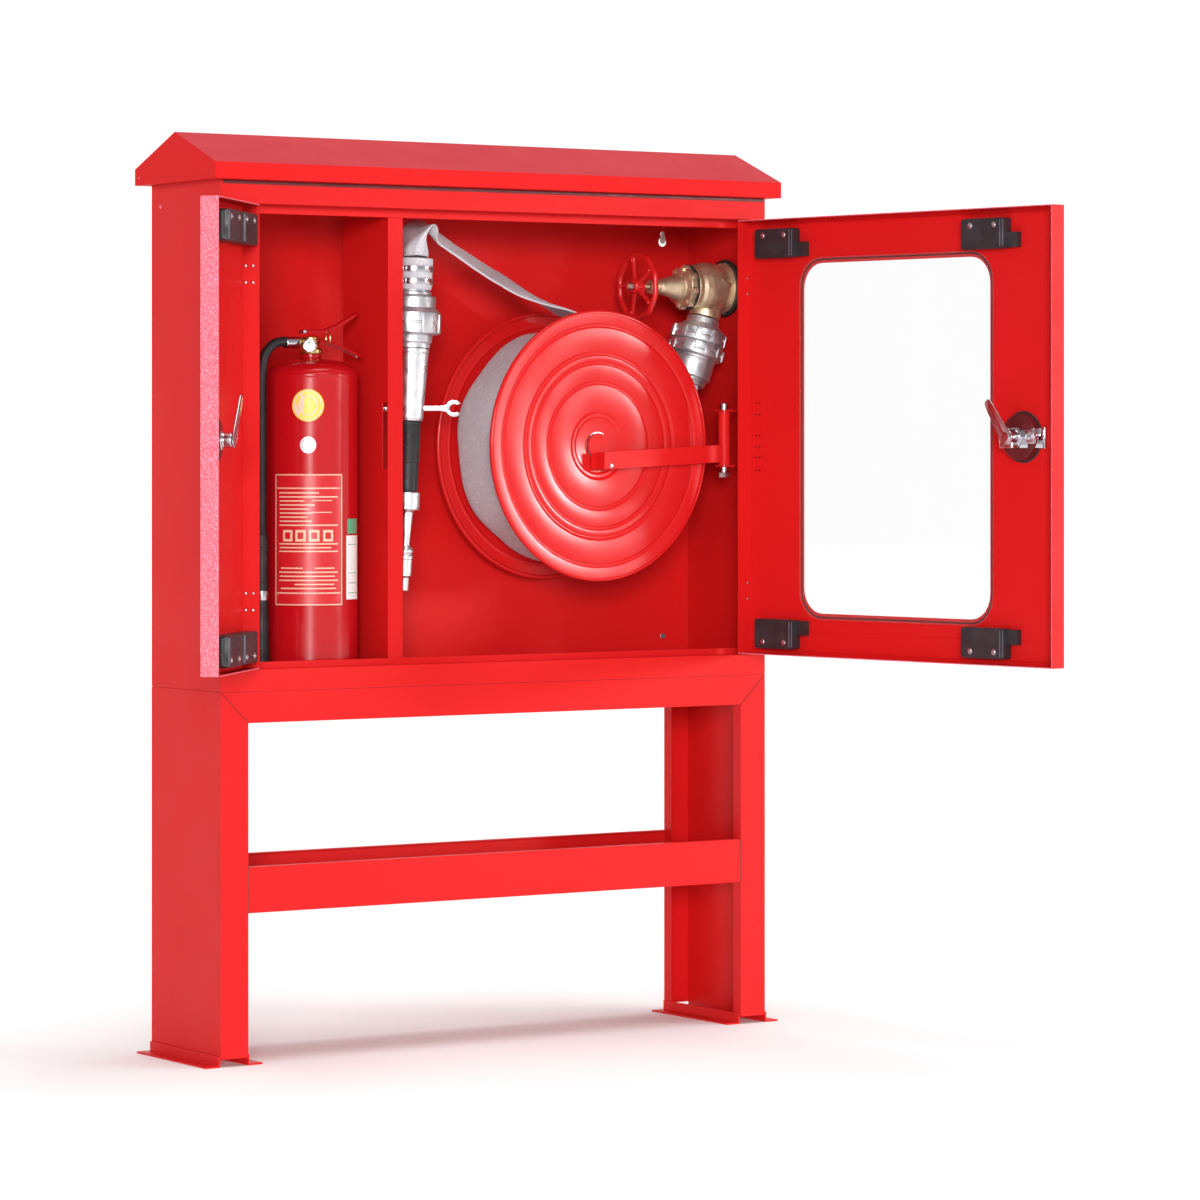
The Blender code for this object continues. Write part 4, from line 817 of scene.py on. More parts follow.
def build_reel_details():
    for node, plane, out in (("reel_front_disc", 0.009, -1), ("reel_rear_disc", 0.169, 1)):
        piece("pressed_" + node, turned(disc_profile(plane, out), 144, ring=True), "disc", "reel", HUB, (node,),
              crease=60)
    # Washer between the front disc and the hose pack
    piece("hub_washer", turned(mm((10.8, 20.6), (23, 20.6), (23, 19.6), (10.8, 19.6)), 40, ring=True),
          "steel", "reel", HUB)

    # Wound lay-flat hose: turns seen from the side, a crowned woven face that sags between its folds
    turns = 27
    inner, outer = 0.0456, 0.1975
    side = []
    for i in range(turns):
        start = inner + (outer - 0.003 - inner) * i / turns
        pitch = (outer - 0.003 - inner) / turns
        side += [(start + pitch * 0.06, 0.0270), (start + pitch * 0.28, 0.0254), (start + pitch * 0.72, 0.0254),
                 (start + pitch * 0.94, 0.0270)]
    rounding = [(outer - 0.0026, 0.0258), (outer - 0.0008, 0.0272), (outer, 0.0300)]
    crown = [(outer + 0.0004 * math.sin(math.pi * k / 12), 0.0300 + 0.118 * k / 12) for k in range(1, 12)]
    front = side + rounding
    back = [(r, 0.178 - z) for r, z in reversed(front)]
    profile = front + crown + back
    segments = 176
    rings = []
    for i in range(segments):
        a = 2 * math.pi * i / segments
        flat = 0.0055 * (0.5 - 0.5 * math.cos(7 * a + 0.8 + 0.5 * math.sin(2 * a))) + 0.0012 * math.sin(3 * a + 1)
        ring = []
        for r, z in profile:
            share = ((r - inner) / (outer - inner)) ** 2
            wobble = 0.0010 * noise.noise(Vector((math.cos(a) * 6, math.sin(a) * 6, z * 22 + r * 9)))
            radius = r - share * (flat + 0.0012) + share * wobble
            drift = 0.0010 * noise.noise(Vector((math.cos(a) * 3 + r * 60, math.sin(a) * 3, 4.0)))
            ring.append((radius * math.cos(a), radius * math.sin(a), z + (drift if 0.03 > z or z > 0.148 else 0)))
        rings.append(ring)
    piece("wound_hose", loft(rings, closed=True), "pack", "reel", HUB, ("hose_pack",), crease=70)

    # Arm end screw and the pivot rod's collar and nut
    face = REEL @ translated(-0.256 + 0.0085, -0.0080, 0.9440) @ FROM_Y
    piece("arm_end_screw", screw_head(0.0042, 0.0020), "steel", "swing_arm", face)
    rod = filleted(mm((4, 925), (6.6, 926.2), (7, 928), (7, 1048), (6, 1050), (3, 1051)), 0.0006)
    piece("turned_pivot_rod", turned(rod, 32), "chrome", BODY_OF["pivot_rod"], REEL, ("pivot_rod",))
    nut = turned(mm((10.5, 924), (10.5, 931.5), (9.2, 932.5), (7.4, 932.5), (7.4, 924)), 6, ring=True)
    piece("pivot_nut", nut, "steel", BODY_OF["pivot_rod"], REEL, crease=25)


# ---- landing valve ---------------------------------------------------------------------------------------

def build_valve_details():
    body = mm((24, 970), (24, 966.4), (37, 966.4), (38.5, 968), (38.5, 974.5), (37.2, 976), (40.5, 983),
              (42.8, 993), (43.2, 1003), (42, 1015), (39, 1026), (36.2, 1034), (43, 1036), (43, 1047),
              (30.5, 1048), (30, 1075), (24, 1075), (24, 1056), (1, 1055.5))
    neck = mm((25, -56), (26.8, -40), (26.2, -22), (25, -16), (27.5, -14.5), (27.5, -6), (26.8, -1.5))
    shapes = [moved(spun(body, 0.0012, 72), VALVE), moved(spun(neck, 0.0012, 56), OUTLET)]
    # Rounded swelling that leads from the globe into the outlet neck
    bulge = []
    for k in range(15):
        t = k / 14
        bulge.append((0.0405 * math.sqrt(max(0.0, 1 - (t * 0.80) ** 2)) + 0.0015, -0.066 + 0.046 * t))
    shapes.append(moved(turned(bulge, 56), OUTLET))
    piece("cast_valve_body", joined(*shapes), "brass", "cabinet", Matrix.Identity(4), ("valve_body",), crease=45)

    cone = mm((5.2, 886), (9.8, 886), (11.2, 887.2), (11.2, 898.5), (9.2, 899.8), (9.2, 903), (12, 904.2),
              (12, 907.5), (13, 909.5), (17.5, 928), (21.5, 942), (22.5, 950), (34, 953.5), (34.5, 955.5),
              (34.5, 964.5), (33, 965.8), (5.2, 966))
    ear = eased(moved(turned([(0.0078, 0.9538), (0.0078, 0.9652)], 14), translated(0.0310, 0, 0)), 0.0010)
    bolt = moved(turned(mm((4.2, 0), (4.2, 2.6), (3.4, 3.4), (0.4, 3.4)), 6),
                 translated(0.0315, 0, 0.9498))
    bonnet = joined(spun(cone, 0.0008, 64, ring=True), ring_of(ear, 8, 0.2))
    piece("cast_bonnet", bonnet, "brass", "cabinet", VALVE, ("valve_bonnet",), crease=40)
    piece("bonnet_bolts", ring_of(bolt, 8, 0.2), "brass", "cabinet", VALVE, crease=25)
    gland = turned(mm((12.2, 888), (12.2, 897.5), (11.2, 898.5), (9.5, 898.5), (9.5, 888)), 6, ring=True)
    piece("gland_nut", gland, "brass", "cabinet", VALVE, crease=25)
    piece("body_gasket", turned(mm((30, 965.5), (39.2, 965.6), (39.2, 966.8), (30, 966.8)), 48, ring=True),
          "rubber", "cabinet", VALVE)

    stem = mm((1, 844), (3.5, 844), (4.6, 845), (4.6, 851.2))
    thread = []
    for k in range(26):
        z = 0.8720 + 0.0006 * 2 * k
        if z < 0.8860:
            thread += [(0.0046, z), (0.0040, z + 0.0006)]
    stem += thread + [(0.0045, 0.8862), (0.0045, 0.9600)]
    piece("turned_stem", turned(stem, 28), "brass", "valve_spindle", VALVE, ("valve_stem",))
    nut = eased(turned([(0.0078, 0.8452), (0.0078, 0.8515)], 6), 0.0006)
    piece("stem_nut", nut, "steel", "valve_spindle", VALVE, crease=25)

    # Cast handwheel: scalloped rim, five crowned spokes with a bead near the rim, and a hub
    rings = []
    for i in range(120):
        a = 2 * math.pi * i / 120
        grip = 0.0009 * math.cos(10 * a)
        ring = []
        for k in range(14):
            b = 2 * math.pi * k / 14
            ring.append(((0.0540 + grip + 0.0050 * math.cos(b)) * math.cos(a),
                         (0.0540 + grip + 0.0050 * math.cos(b)) * math.sin(a), 0.8640 + 0.0047 * math.sin(b)))
        rings.append(ring)
    rim = loft(rings, closed=True)
    hub_profile = mm((4.9, 852.4), (10.5, 852.4), (12.5, 854.5), (13, 864), (12, 872), (4.9, 872))
    hub = spun(hub_profile, 0.0010, 40, ring=True)
    blade = []
    for r, z, wide, thick in ((0.0100, 0.8600, 0.0062, 0.0046), (0.0180, 0.8610, 0.0046, 0.0036),
                              (0.0300, 0.8620, 0.0038, 0.0030), (0.0420, 0.8632, 0.0042, 0.0030),
                              (0.0515, 0.8640, 0.0060, 0.0036)):
        blade.append([(r, wide * math.cos(b), z + thick * math.sin(b))
                      for b in (2 * math.pi * k / 12 for k in range(12))])
    bead = moved(turned([(0.0034 * math.cos(v), 0.0034 * math.sin(v)) for v in
                         (math.radians(d) for d in (-80, -50, -20, 10, 40, 65, 85))], 14),
                 translated(0.0465, 0, 0.8610))
    wheel = joined(rim, hub, ring_of(joined(loft(blade), bead), 5, 0.35))
    piece("cast_handwheel", wheel, "wheel", "valve_wheel", VALVE, ("handwheel",), crease=50)


def storz(profile, low, high, start, radius=0.0495):
    """A coupling half: a turned body with three claw lugs and finger notches round its ring."""
    shapes = [spun(profile, 0.0009, 72)]
    for i in range(3):
        outline = [(radius * math.cos(a), radius * math.sin(a)) for a in
                   (math.radians(v) for v in (-13, -8, -4, 0, 4, 8, 13))]
        outline += [(0.040 * math.cos(a), 0.040 * math.sin(a)) for a in (math.radians(v) for v in (15, 0, -15))]
        lug = eased(prism(outline, "Z", low, high), 0.0012, 2)
        shapes.append(moved(lug, Matrix.Rotation(start + 2 * math.pi * i / 3, 4, "Z")))
        for step in (0.75, 1.35):
            groove = eased(box(0.0440, 0.0472, -0.0052, 0.0052, low + 0.001, high - 0.001), 0.0010)
            shapes.append(moved(groove, Matrix.Rotation(start + step + 2 * math.pi * i / 3, 4, "Z")))
    return joined(*shapes)


def build_coupling_details():
    valve_half = mm((25, 0.6), (28.5, 1.2), (29, 12), (34.5, 14), (36, 19.5), (44, 21), (45.8, 23.5),
                    (45.8, 30), (44, 31.2), (44, 34.5), (46, 35.8), (46, 44), (45, 45.5), (33, 45.5))
    piece("outlet_half", storz(valve_half, 0.0225, 0.0435, 0.4), "alloy", BODY_OF["outlet_coupling"], OUTLET,
          ("outlet_coupling",), crease=40)
    seal = mm((34, 45), (43, 45), (43, 46.6), (34, 46.6))
    piece("coupling_seal", turned(seal, 48, ring=True), "rubber", BODY_OF["outlet_coupling"], OUTLET)
    hose_half = mm((33, 46), (45, 46), (46, 47.5), (46, 55), (44.3, 56.2), (44.3, 59), (45.8, 60.2), (45.8, 67),
                   (44, 69), (39.5, 70), (38.5, 73.5), (37.2, 75), (38, 77), (37.2, 79), (36, 104), (35, 106.2),
                   (30, 107), (30, 110), (31.2, 111), (31.2, 113), (29.5, 114), (29, 118))
    piece("hose_half", storz(hose_half, 0.0485, 0.0665, 1.4), "alloy", BODY_OF["hose_coupling"], OUTLET,
          ("hose_coupling",), crease=40)


# ---- branch pipe -----------------------------------------------------------------------------------------

def build_nozzle_details():
    top = mm((20, 0), (26.2, 0.4), (26.2, 50), (30, 51), (30, 56), (36, 57.5), (37.2, 60), (37.2, 77),
             (40, 78.5), (44, 83), (46, 85), (46, 98.5), (43.5, 99.5), (43.5, 102), (45.5, 103), (45.5, 118),
             (43.5, 120), (33.5, 121.5), (33, 133), (30, 134.5), (30, 142))
    piece("branch_coupling", storz(top, 0.0860, 0.1190, 0.5), "alloy", BODY_OF["nozzle_coupling"], NOZZLE,
          ("nozzle_coupling",), crease=40)
    # Two band clamps with pointed ears hold the hose on the tail
    for number, low in enumerate((0.0090, 0.0290), 1):
        band = [(0.0318, low), (0.0332, low + 0.0004), (0.0332, low + 0.0096), (0.0318, low + 0.0100)]
        ear = [(0.0300, low - 0.0005), (0.0340, low + 0.0006), (0.0425, low + 0.0042), (0.0430, low + 0.0058),
               (0.0340, low + 0.0094), (0.0300, low + 0.0105)]
        ears = eased(prism(ear, "Y", -0.0075, 0.0075), 0.0008)
        gap = eased(box(0.0318, 0.0350, -0.0105, 0.0105, low + 0.001, low + 0.009), 0.0008)
        turn = Matrix.Rotation(math.radians(-20), 4, "Z")
        clamp = joined(spun(band, 0.0004, 56, ring=True), moved(ears, turn), moved(gap, turn))
        piece(f"hose_clamp_{number}", clamp, "chrome", "cabinet", NOZZLE)
    # Jacket of the hose under the clamps
    sleeve = mm((26.4, -4), (30.6, -4), (31, 6), (30, 8.5), (31.4, 10.5), (31.4, 18), (30.2, 20.5), (30.2, 27),
                (31.4, 30), (31.4, 38), (30, 42), (29, 47), (26.4, 47.5))
    piece("clamped_jacket", spun(sleeve, 0.0010, 56, ring=True), "lead", "cabinet", NOZZLE)

    cone = mm((24, 142.5), (28.5, 142.8), (29, 144.5), (29, 149), (28.2, 151), (22.5, 254), (22.5, 257.5),
              (21.5, 259), (21, 261.8), (18, 262))
    piece("branch_tube", spun(cone, 0.0010, 64), "tube", BODY_OF["nozzle_tube"], NOZZLE, ("nozzle_tube",))
    grip = mm((15, 262.5), (18.2, 262.5), (19, 264))
    for k in range(17):
        z = 0.2670 + 0.0036 * k
        crest, groove = 0.0190 - 0.00002 * k, 0.0183 - 0.00002 * k
        grip += [(crest, z), (groove, z + 0.0008), (groove, z + 0.0016), (crest, z + 0.0024)]
    grip += mm((18.6, 329), (17.2, 330.5), (17.2, 373), (16.5, 377.2), (15, 377.5))
    piece("ribbed_grip", turned(filleted(grip, 0.0003, 2), 56), "rubber", BODY_OF["nozzle_grip"], NOZZLE,
          ("nozzle_grip",), crease=50)
    tip = mm((15, 377.9), (18.5, 377.9), (20.8, 379.2), (21, 382), (21, 405), (20, 407.5), (13, 409.2),
             (11.5, 411), (11, 414), (7, 464), (7.2, 466.5), (11.8, 470), (13.4, 473.5), (13.4, 477),
             (11.5, 479.5), (12.2, 481.5), (13.3, 483), (13.3, 487), (12.2, 489), (11.5, 515.5), (8.2, 518.5),
             (7, 539.5), (4.2, 539.9), (4, 518), (1, 517.8))
    piece("twist_tip", spun(tip, 0.0008, 56), "tube", "nozzle_shutoff", NOZZLE, ("nozzle_tip",))


# ---- lay-flat hose ---------------------------------------------------------------------------------------

def jacket(width, thickness, gather, steps=28):
    """A flattened tube's section: nearly flat faces, rounded folds, pleats where it is gathered."""
    ring = []
    for k in range(steps):
        a = 2 * math.pi * k / steps
        c, s = math.cos(a), math.sin(a)
        x = width / 2 * math.copysign(abs(c) ** 0.75, c)
        z = thickness / 2 * math.copysign(abs(s) ** 0.6, s)
        pleat = 1.0 - gather * 0.16 * (0.5 + 0.5 * math.cos(5 * a + 0.6))
        ring.append((x * pleat, z * pleat))
    return ring


def build_hose_details():
    lead = mm((409.8, 90, 1286), (411, 92, 1303), (415, 96, 1321), (427, 102, 1334), (443, 106, 1333),
              (470, 110, 1318), (520, 110, 1289), (580, 110, 1258), (640, 110, 1231), (700, 110, 1207),
              (760, 110, 1187), (815, 110, 1168))
    path = smooth_path(lead, 10)

    def lead_section(t):
        flat = min(1.0, max(0.0, (t - 0.04) / 0.17))
        flat = flat * flat * (3 - 2 * flat)
        ramp = min(min(1.0, max(0.0, (t - 0.22) / 0.20)), min(1.0, max(0.0, (0.88 - t) / 0.22)))
        lean = math.radians(30.0) * ramp * ramp * (3 - 2 * ramp)
        return [(w * math.cos(lean) - h * math.sin(lean), w * math.sin(lean) + h * math.cos(lean))
                for w, h in jacket(0.047 + 0.029 * flat, 0.042 - 0.036 * flat, 1 - flat)]

    shape = swept(path, lead_section)
    points = []
    for p in shape[0]:
        v = Vector(p)
        wrinkle = noise.noise(Vector((v.x * 26, v.y * 14, v.z * 26))) * 0.0011
        fine = noise.noise(Vector((v.x * 70, v.y * 30, v.z * 70))) * 0.0005
        points.append((v.x, v.y, v.z + wrinkle + fine))
    piece("woven_lead", (points, shape[1]), "lead", "cabinet", CABINET, ("hose_lead",), crease=80)
    start = Vector((1.000 - math.sin(TILT) * 0.119, 0.110, 1.195 - math.cos(TILT) * 0.119))
    route = [start, start + HOSE_DOWN * 0.010, start + HOSE_DOWN * 0.022 + Vector((0, 0, -0.002)),
             (0.9500, 0.110, 1.0250), (0.9470, 0.110, 1.0000), (0.9465, 0.110, 0.9750)]

    def feed_section(t):
        flat = min(1.0, t / 0.5)
        return jacket(0.050 + 0.022 * flat, 0.034 - 0.028 * flat, 1 - flat)

    piece("woven_feed", swept(smooth_path(route, 10), feed_section), "lead", "cabinet", CABINET, ("hose_feed",),
          crease=80)


# ---- extinguisher ----------------------------------------------------------------------------------------

CAMERA_SIDE = math.atan2(-VIEW[1], -VIEW[0])


def patch(angle, spread, low, high, proud=0.0003, steps=24):
    """A label that follows the cylinder, spread to either side of its middle angle."""
    face = EXT_RADIUS + proud
    corners = ((EXT_RADIUS, low), (face, low), (face, high), (EXT_RADIUS, high))
    rings = []
    for i in range(steps + 1):
        a = angle - spread + 2 * spread * i / steps
        rings.append([(r * math.cos(a), r * math.sin(a), z) for r, z in corners])
    return loft(rings)


def disc_patch(angle, z, radius, inner=0.0, proud=0.0003, segments=48):
    """A round label on the cylinder, or a ring of one, that follows its curve."""
    count = max(2, int((radius - inner) / 0.002))
    radii = [max(inner, 0.0003) + (radius - max(inner, 0.0003)) * i / count for i in range(count + 1)]
    rings = []
    for r, out in [(r, proud) for r in radii] + [(radii[-1], 0.0), (radii[0], 0.0)]:
        rings.append([((EXT_RADIUS + out) * math.cos(angle + r * math.cos(b) / EXT_RADIUS),
                       (EXT_RADIUS + out) * math.sin(angle + r * math.cos(b) / EXT_RADIUS), z + r * math.sin(b))
                      for b in (2 * math.pi * k / segments for k in range(segments))])
    return loft(rings[:-1])


def on_cylinder(name, shape, look, stands_for=(), crease=32):
    piece(name, shape, look, "cabinet", EXTINGUISHER, stands_for, crease=crease)


def build_extinguisher_details():
    floor = 0.590 + SHEET + 0.0005
    profile = [(0.0400, floor), (0.0700, floor), (0.0730, floor + 0.001), (0.0735, 0.6040), (0.0752, 0.6065),
               (0.0758, 0.6120), (EXT_RADIUS, 0.6180), (EXT_RADIUS, 1.0885), (0.0766, 1.0896), (0.0768, 1.0912),
               (0.0766, 1.0928), (0.0757, 1.0938)]
    for v in range(6, 91, 6):
        a = math.radians(v)
        profile.append((0.0165 + (EXT_RADIUS - 0.0170) * math.cos(a), 1.0920 + 0.0262 * math.sin(a)))
    profile += mm((16.8, 1119), (17.2, 1121), (17.2, 1125.5), (16.5, 1126), (10, 1126))
    on_cylinder("drawn_cylinder", spun(profile, 0.0012, 112), "cylinder", ("extinguisher_cylinder",), crease=40)
    piece("foot_ring", turned(mm((73.3, 593.5), (74.5, 593.5), (74.5, 600), (73.3, 600)), 64, ring=True),
          "black", "cabinet", EXTINGUISHER)

    # Round yellow seal with printed rings, and a silver emblem below it
    seal_z, emblem_z = 1.0425, 0.9790
    on_cylinder("yellow_seal", disc_patch(CAMERA_SIDE, seal_z, 0.0260), "yellow")
    rings = joined(*[disc_patch(CAMERA_SIDE, seal_z, outer, inner, 0.0005)
                     for outer, inner in ((0.0240, 0.0232), (0.0165, 0.0158))])
    on_cylinder("yellow_seal_rings", rings, "beige")
    on_cylinder("silver_emblem", disc_patch(CAMERA_SIDE, emblem_z, 0.0130), "steel")
    on_cylinder("silver_emblem_ring", disc_patch(CAMERA_SIDE, emblem_z, 0.0105, 0.0085, 0.0006), "chrome")

    # Blank label panel: a red ground in a pale outline, with plain pale bars and blank squares
    half = math.radians(44.6)
    low, high = 0.7215, 0.9320
    line = 0.0018
    on_cylinder("label_ground", patch(CAMERA_SIDE, half, low, high, 0.0002, 40), "label_red")
    side = line / EXT_RADIUS / 2
    marks = [patch(CAMERA_SIDE, half, low, low + line, 0.0004, 40),
             patch(CAMERA_SIDE, half, high - line, high, 0.0004, 40),
             patch(CAMERA_SIDE - half + side, side, low, high, 0.0004, 3),
             patch(CAMERA_SIDE + half - side, side, low, high, 0.0004, 3)]
    inner = half - math.radians(3.2)
    marks.append(patch(CAMERA_SIDE, inner, 0.9085, 0.9105, 0.0004, 40))
    marks.append(patch(CAMERA_SIDE, inner, 0.7400, 0.7420, 0.0004, 40))
    # Rows of plain bars, long and short in turn: height, share of the width, shift to the side
    rows = ((0.9010, 0.62, -0.30), (0.8945, 0.92, 0.0), (0.8880, 0.40, -0.50), (0.8815, 0.55, -0.35),
            (0.8750, 0.46, -0.44), (0.8685, 0.52, -0.38), (0.8620, 0.44, -0.46), (0.8555, 0.50, -0.40),
            (0.8490, 0.92, 0.0), (0.8190, 0.92, 0.0), (0.8130, 0.80, -0.10), (0.8070, 0.92, 0.0),
            (0.7800, 0.35, -0.50), (0.7800, 0.30, 0.50), (0.7735, 0.92, 0.0), (0.7670, 0.86, -0.04),
            (0.7605, 0.92, 0.0), (0.7540, 0.60, 0.20), (0.7475, 0.86, 0.0))
    for z, share, shift in rows:
        marks.append(patch(CAMERA_SIDE + inner * shift, inner * share, z, z + 0.0021, 0.0004, 24))
    # Two short bars to the right and four small squares
    for z in (0.8700, 0.8890):
        marks.append(patch(CAMERA_SIDE + inner * 0.42, inner * 0.30, z, z + 0.0015, 0.0004, 16))
    squares = (-0.62, -0.22, 0.18, 0.60)
    for shift in squares:
        marks.append(patch(CAMERA_SIDE + inner * shift, inner * 0.155, 0.8240, 0.8425, 0.0004, 10))
    on_cylinder("label_bars", joined(*marks), "beige")
    blanks = [patch(CAMERA_SIDE + inner * shift, inner * 0.085, 0.8280, 0.8385, 0.0006, 8)
              for shift in squares]
    on_cylinder("label_blanks", joined(*blanks), "label_red")
    tag = CAMERA_SIDE + math.radians(66)
    on_cylinder("inspection_tag", patch(tag, math.radians(14.0), 0.7300, 0.8330, 0.0006, 12), "white")
    on_cylinder("inspection_band", patch(tag, math.radians(12.0), 0.8360, 0.8600, 0.0006, 12), "green")
    frame_lines = [patch(tag, math.radians(11.5), z, z + 0.0010, 0.0009, 8)
                   for z in (0.7400, 0.7560, 0.7720, 0.8180)]
    on_cylinder("inspection_lines", joined(*frame_lines), "green")

    head = mm((10, 1126.4), (17.6, 1126.4), (18.2, 1127.2), (18.2, 1133.5), (17.2, 1134.5), (14, 1135),
              (13.6, 1136.2), (13.6, 1142.5), (12.2, 1144), (12, 1153), (11, 1154.5), (2, 1154.5))
    outlet = mm((8.8, 0), (8.8, 12), (7.8, 13), (7.8, 15), (8.6, 16), (8.6, 24), (7.2, 25), (7.2, 30), (4, 30))
    side = moved(spun(outlet, 0.0006, 32), translated(0, 0, 1.1450) @ FROM_X)
    hexagon = eased(turned([(0.0188, 1.1272), (0.0188, 1.1330)], 6), 0.0008)
    piece("forged_head", joined(spun(head, 0.0008, 48), side, hexagon), "gold", "cabinet", EXTINGUISHER,
          ("extinguisher_valve",), crease=35)
    collar = mm((8.2, 25), (9.8, 25.5), (9.8, 48), (9, 49), (8.2, 49))
    collar_at = translated(0, 0, 1.1453) @ Matrix.Rotation(-math.pi / 2 - 0.02, 4, "Y")
    on_cylinder("hose_ferrule", moved(spun(collar, 0.0006, 32, ring=True), collar_at), "chrome")

    facing = Vector((-VIEW[0], -VIEW[1], 0))
    dial_at = EXTINGUISHER @ stand_on(Vector((0, 0, 1.1395)) + facing * 0.0186, facing)
    rim = mm((4.5, 0), (4.5, 4.5), (9.8, 4.7), (10.6, 5.6), (10.8, 7), (10.8, 10.4), (10.4, 11.4), (9.6, 11.5),
             (9.2, 10.6), (1, 10.6))
    piece("gauge_case", spun(rim, 0.0005, 48), "chrome", "cabinet", dial_at, ("pressure_gauge",))
    piece("gauge_dial", turned(mm((9.1, 10.7), (9.1, 10.9), (0.4, 10.9)), 40), "white", "cabinet", dial_at)
    ticks = []
    for k in range(9):
        tick = box(0.0062, 0.0084, -0.0003, 0.0003, 0.0109, 0.0111)
        ticks.append(moved(tick, Matrix.Rotation(math.radians(-30 + 30 * k), 4, "Z")))
    needle = box(-0.0020, 0.0068, -0.0003, 0.0003, 0.0110, 0.0113)
    ticks.append(moved(needle, Matrix.Rotation(math.radians(70), 4, "Z")))
    piece("gauge_ticks", joined(*ticks), "black", "cabinet", dial_at)
    zone = arc((0, 0), 0.0061, 40, 100, 10) + arc((0, 0), 0.0045, 100, 40, 10)
    piece("gauge_zone", prism(zone, "Z", 0.0109, 0.0110), "green", "cabinet", dial_at)

    # Pressed steel handles: channels with turned-down sides and rounded ends
    toward = math.atan2(-0.017, 0.080)
    handles = EXTINGUISHER @ Matrix.Rotation(toward, 4, "Z")
    width = 0.011
    carry = mm((12.5, 1146.5), (30, 1146.2), (45, 1141.5), (60, 1135.2), (75, 1128), (86.2, 1121.8))
    squeeze = mm((-16, 1164.5), (0, 1165), (18, 1165.5), (29, 1169), (42, 1174.5), (60, 1185), (77.2, 1195))

    def channel(line, drop, width):
        path = smooth_path([(x, 0, z) for x, z in line], 8)
        count = len(path)

        def section(t):
            ease = min(1.0, (1.0 - t) * count / 5)
            w = width * (0.55 + 0.45 * math.sqrt(ease))
            d = drop * (0.4 + 0.6 * math.sqrt(ease))
            return [(-w, -d), (-w * 0.985, -d * 0.3), (-w * 0.90, 0.0), (-w * 0.5, 0.0008), (0, 0.0011),
                    (w * 0.5, 0.0008), (w * 0.90, 0.0), (w * 0.985, -d * 0.3), (w, -d),
                    (w - 0.0014, -d), (w - 0.0018, -d * 0.4), (w * 0.8, -0.0014), (0, -0.0006),
                    (-w * 0.8, -0.0014), (-w + 0.0018, -d * 0.4), (-w + 0.0014, -d)]

        return swept(path, section)

    piece("pressed_carry_handle", channel(carry, 0.0040, width), "cylinder",
          BODY_OF["carry_handle"], handles, ("carry_handle",), crease=50)
    piece("pressed_lever", channel(squeeze, 0.0048, width), "cylinder", "ext_lever", handles, ("squeeze_lever",),
          crease=50)
    pivot = moved(turned(filleted(mm((0.5, -12.8), (2.6, -12.6), (3, -11.6), (2.2, -11), (2.2, 11), (3, 11.6),
                                     (2.6, 12.6), (0.5, 12.8)), 0.0003), 20),
                  translated(-0.0140, 0, 1.1625) @ FROM_Y)
    piece("lever_pivot", pivot, "steel", "ext_lever", handles)

    # Hose with moulded ribs near its ends, and the horn with its silver ring
    route = mm((-30.8, 0, 1145), (-50, 0, 1146), (-70, 0, 1141), (-86, 0, 1123), (-91, 0, 1095),
               (-91.5, 0, 1050), (-91.5, 0, 980), (-91.5, 0, 900), (-91.5, 0, 836))
    path = smooth_path(route, 14)
    count = len(path)

    def hose_section(t):
        rib = 0.0079 + 0.0004 * (1 if int(t * count) % 3 == 0 and (t < 0.14 or t > 0.93) else 0)
        return [(rib * math.cos(2 * math.pi * k / 20), rib * math.sin(2 * math.pi * k / 20)) for k in range(20)]

    piece("rubber_hose", swept(path, hose_section), "rubber", "cabinet", EXTINGUISHER, ("extinguisher_hose",),
          crease=60)
    horn = mm((6, 835.8), (9.4, 835.6), (10, 834), (10, 820), (10.8, 819), (10.8, 815), (10, 814), (10, 760),
              (10.6, 759), (10.6, 740), (10.6, 730), (10.6, 720), (10.4, 718), (11.8, 670), (13, 625),
              (12.6, 624), (11.6, 624.2), (8.5, 690), (1, 691))
    horn_at = EXTINGUISHER @ translated(-0.0915, 0, 0)
    piece("moulded_horn", spun(horn, 0.0006, 40), "black", "cabinet", horn_at, ("extinguisher_horn",))
    ring = mm((10.4, 728.5), (11.4, 729), (11.4, 744), (10.4, 744.5))
    piece("horn_ring", spun(ring, 0.0004, 36, ring=True), "chrome", "cabinet", horn_at)

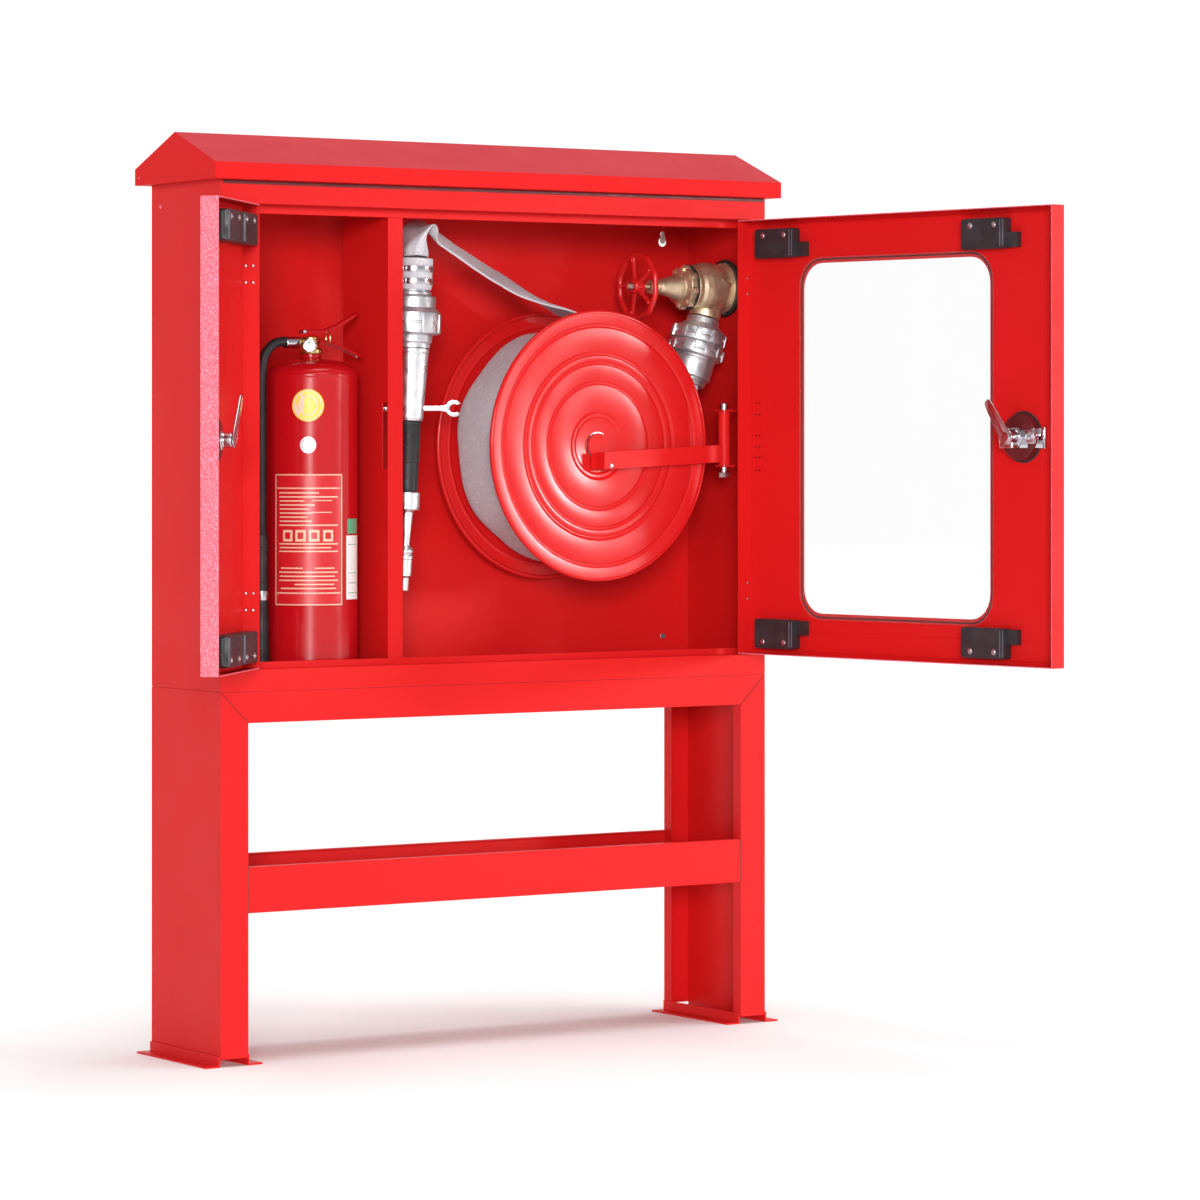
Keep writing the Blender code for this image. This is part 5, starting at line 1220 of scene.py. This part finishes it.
    # Safety pin and its ring
    spot = handles @ translated(0.0175, 0.0180, 1.1510)
    shaft = moved(turned(mm((0.6, 0), (1.4, 0.8), (1.4, 44)), 16), FROM_Y)
    angles = [2 * math.pi * i / 10 for i in range(10)]
    bow = [(0.0110 + 0.0012 * math.cos(a), 0.0012 * math.sin(a)) for a in angles]
    loop = moved(turned(bow, 40, ring=True), translated(0, -0.0540, 0) @ TO_X)
    piece("bent_safety_pin", joined(shaft, loop), "gold", "ext_pin", spot, ("safety_pin",))


def build_spanner_details():
    head = Vector((0.4810, 0.0815, 1.0390))
    run = Vector((0.882, -0.471, 0)).normalized()
    length = 0.165
    shank = [(-0.0165, 0.0052), (-0.022, 0.0042), (-length + 0.01, 0.0048), (-length, 0.0040)]
    outline = arc((0, 0), 0.0140, 35, 155, 24) + shank + [(x, -y) for x, y in reversed(shank)]
    outline += arc((0, 0), 0.0140, 205, 325, 24) + arc((0, 0), 0.0070, 310, 50, 24)
    matrix = CABINET @ Matrix.Translation(head) @ Vector((1, 0, 0)).rotation_difference(run).to_matrix().to_4x4()
    piece("forged_spanner", eased(prism(outline, "Y", -0.0025, 0.0025), 0.0007, 3), "chrome",
          BODY_OF["coupling_spanner"], matrix, ("coupling_spanner",), crease=35)


build_stage()
build_sheet_metal()
build_casing_details()
build_door_details("left", 1, LEFT_DOOR, 0.265, (0.2200, 0.9865, 0.0440), 0.084)
build_door_details("right", -1, RIGHT_DOOR, 0.717, (0.6330, 0.9915, 0.0470), 0.071)
build_block_details()
build_reel_details()
build_valve_details()
build_coupling_details()
build_nozzle_details()
build_hose_details()
build_extinguisher_details()
build_spanner_details()

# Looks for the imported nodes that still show, by their material
LOOK_OF_SLOT = {"brass": "brass", "cast_aluminium": "alloy", "chrome": "chrome", "black_rubber": "rubber",
                "black_plastic": "black", "woven_hose": "hose", "clear_pane": "pane"}
for node, thing in frame["nodes"].items():
    if hasattr(thing, "data") and not thing.hide_render:
        thing.data.materials.clear()
        thing.data.materials.append(LOOKS[LOOK_OF_SLOT.get(SLOT_OF[node], "red")])
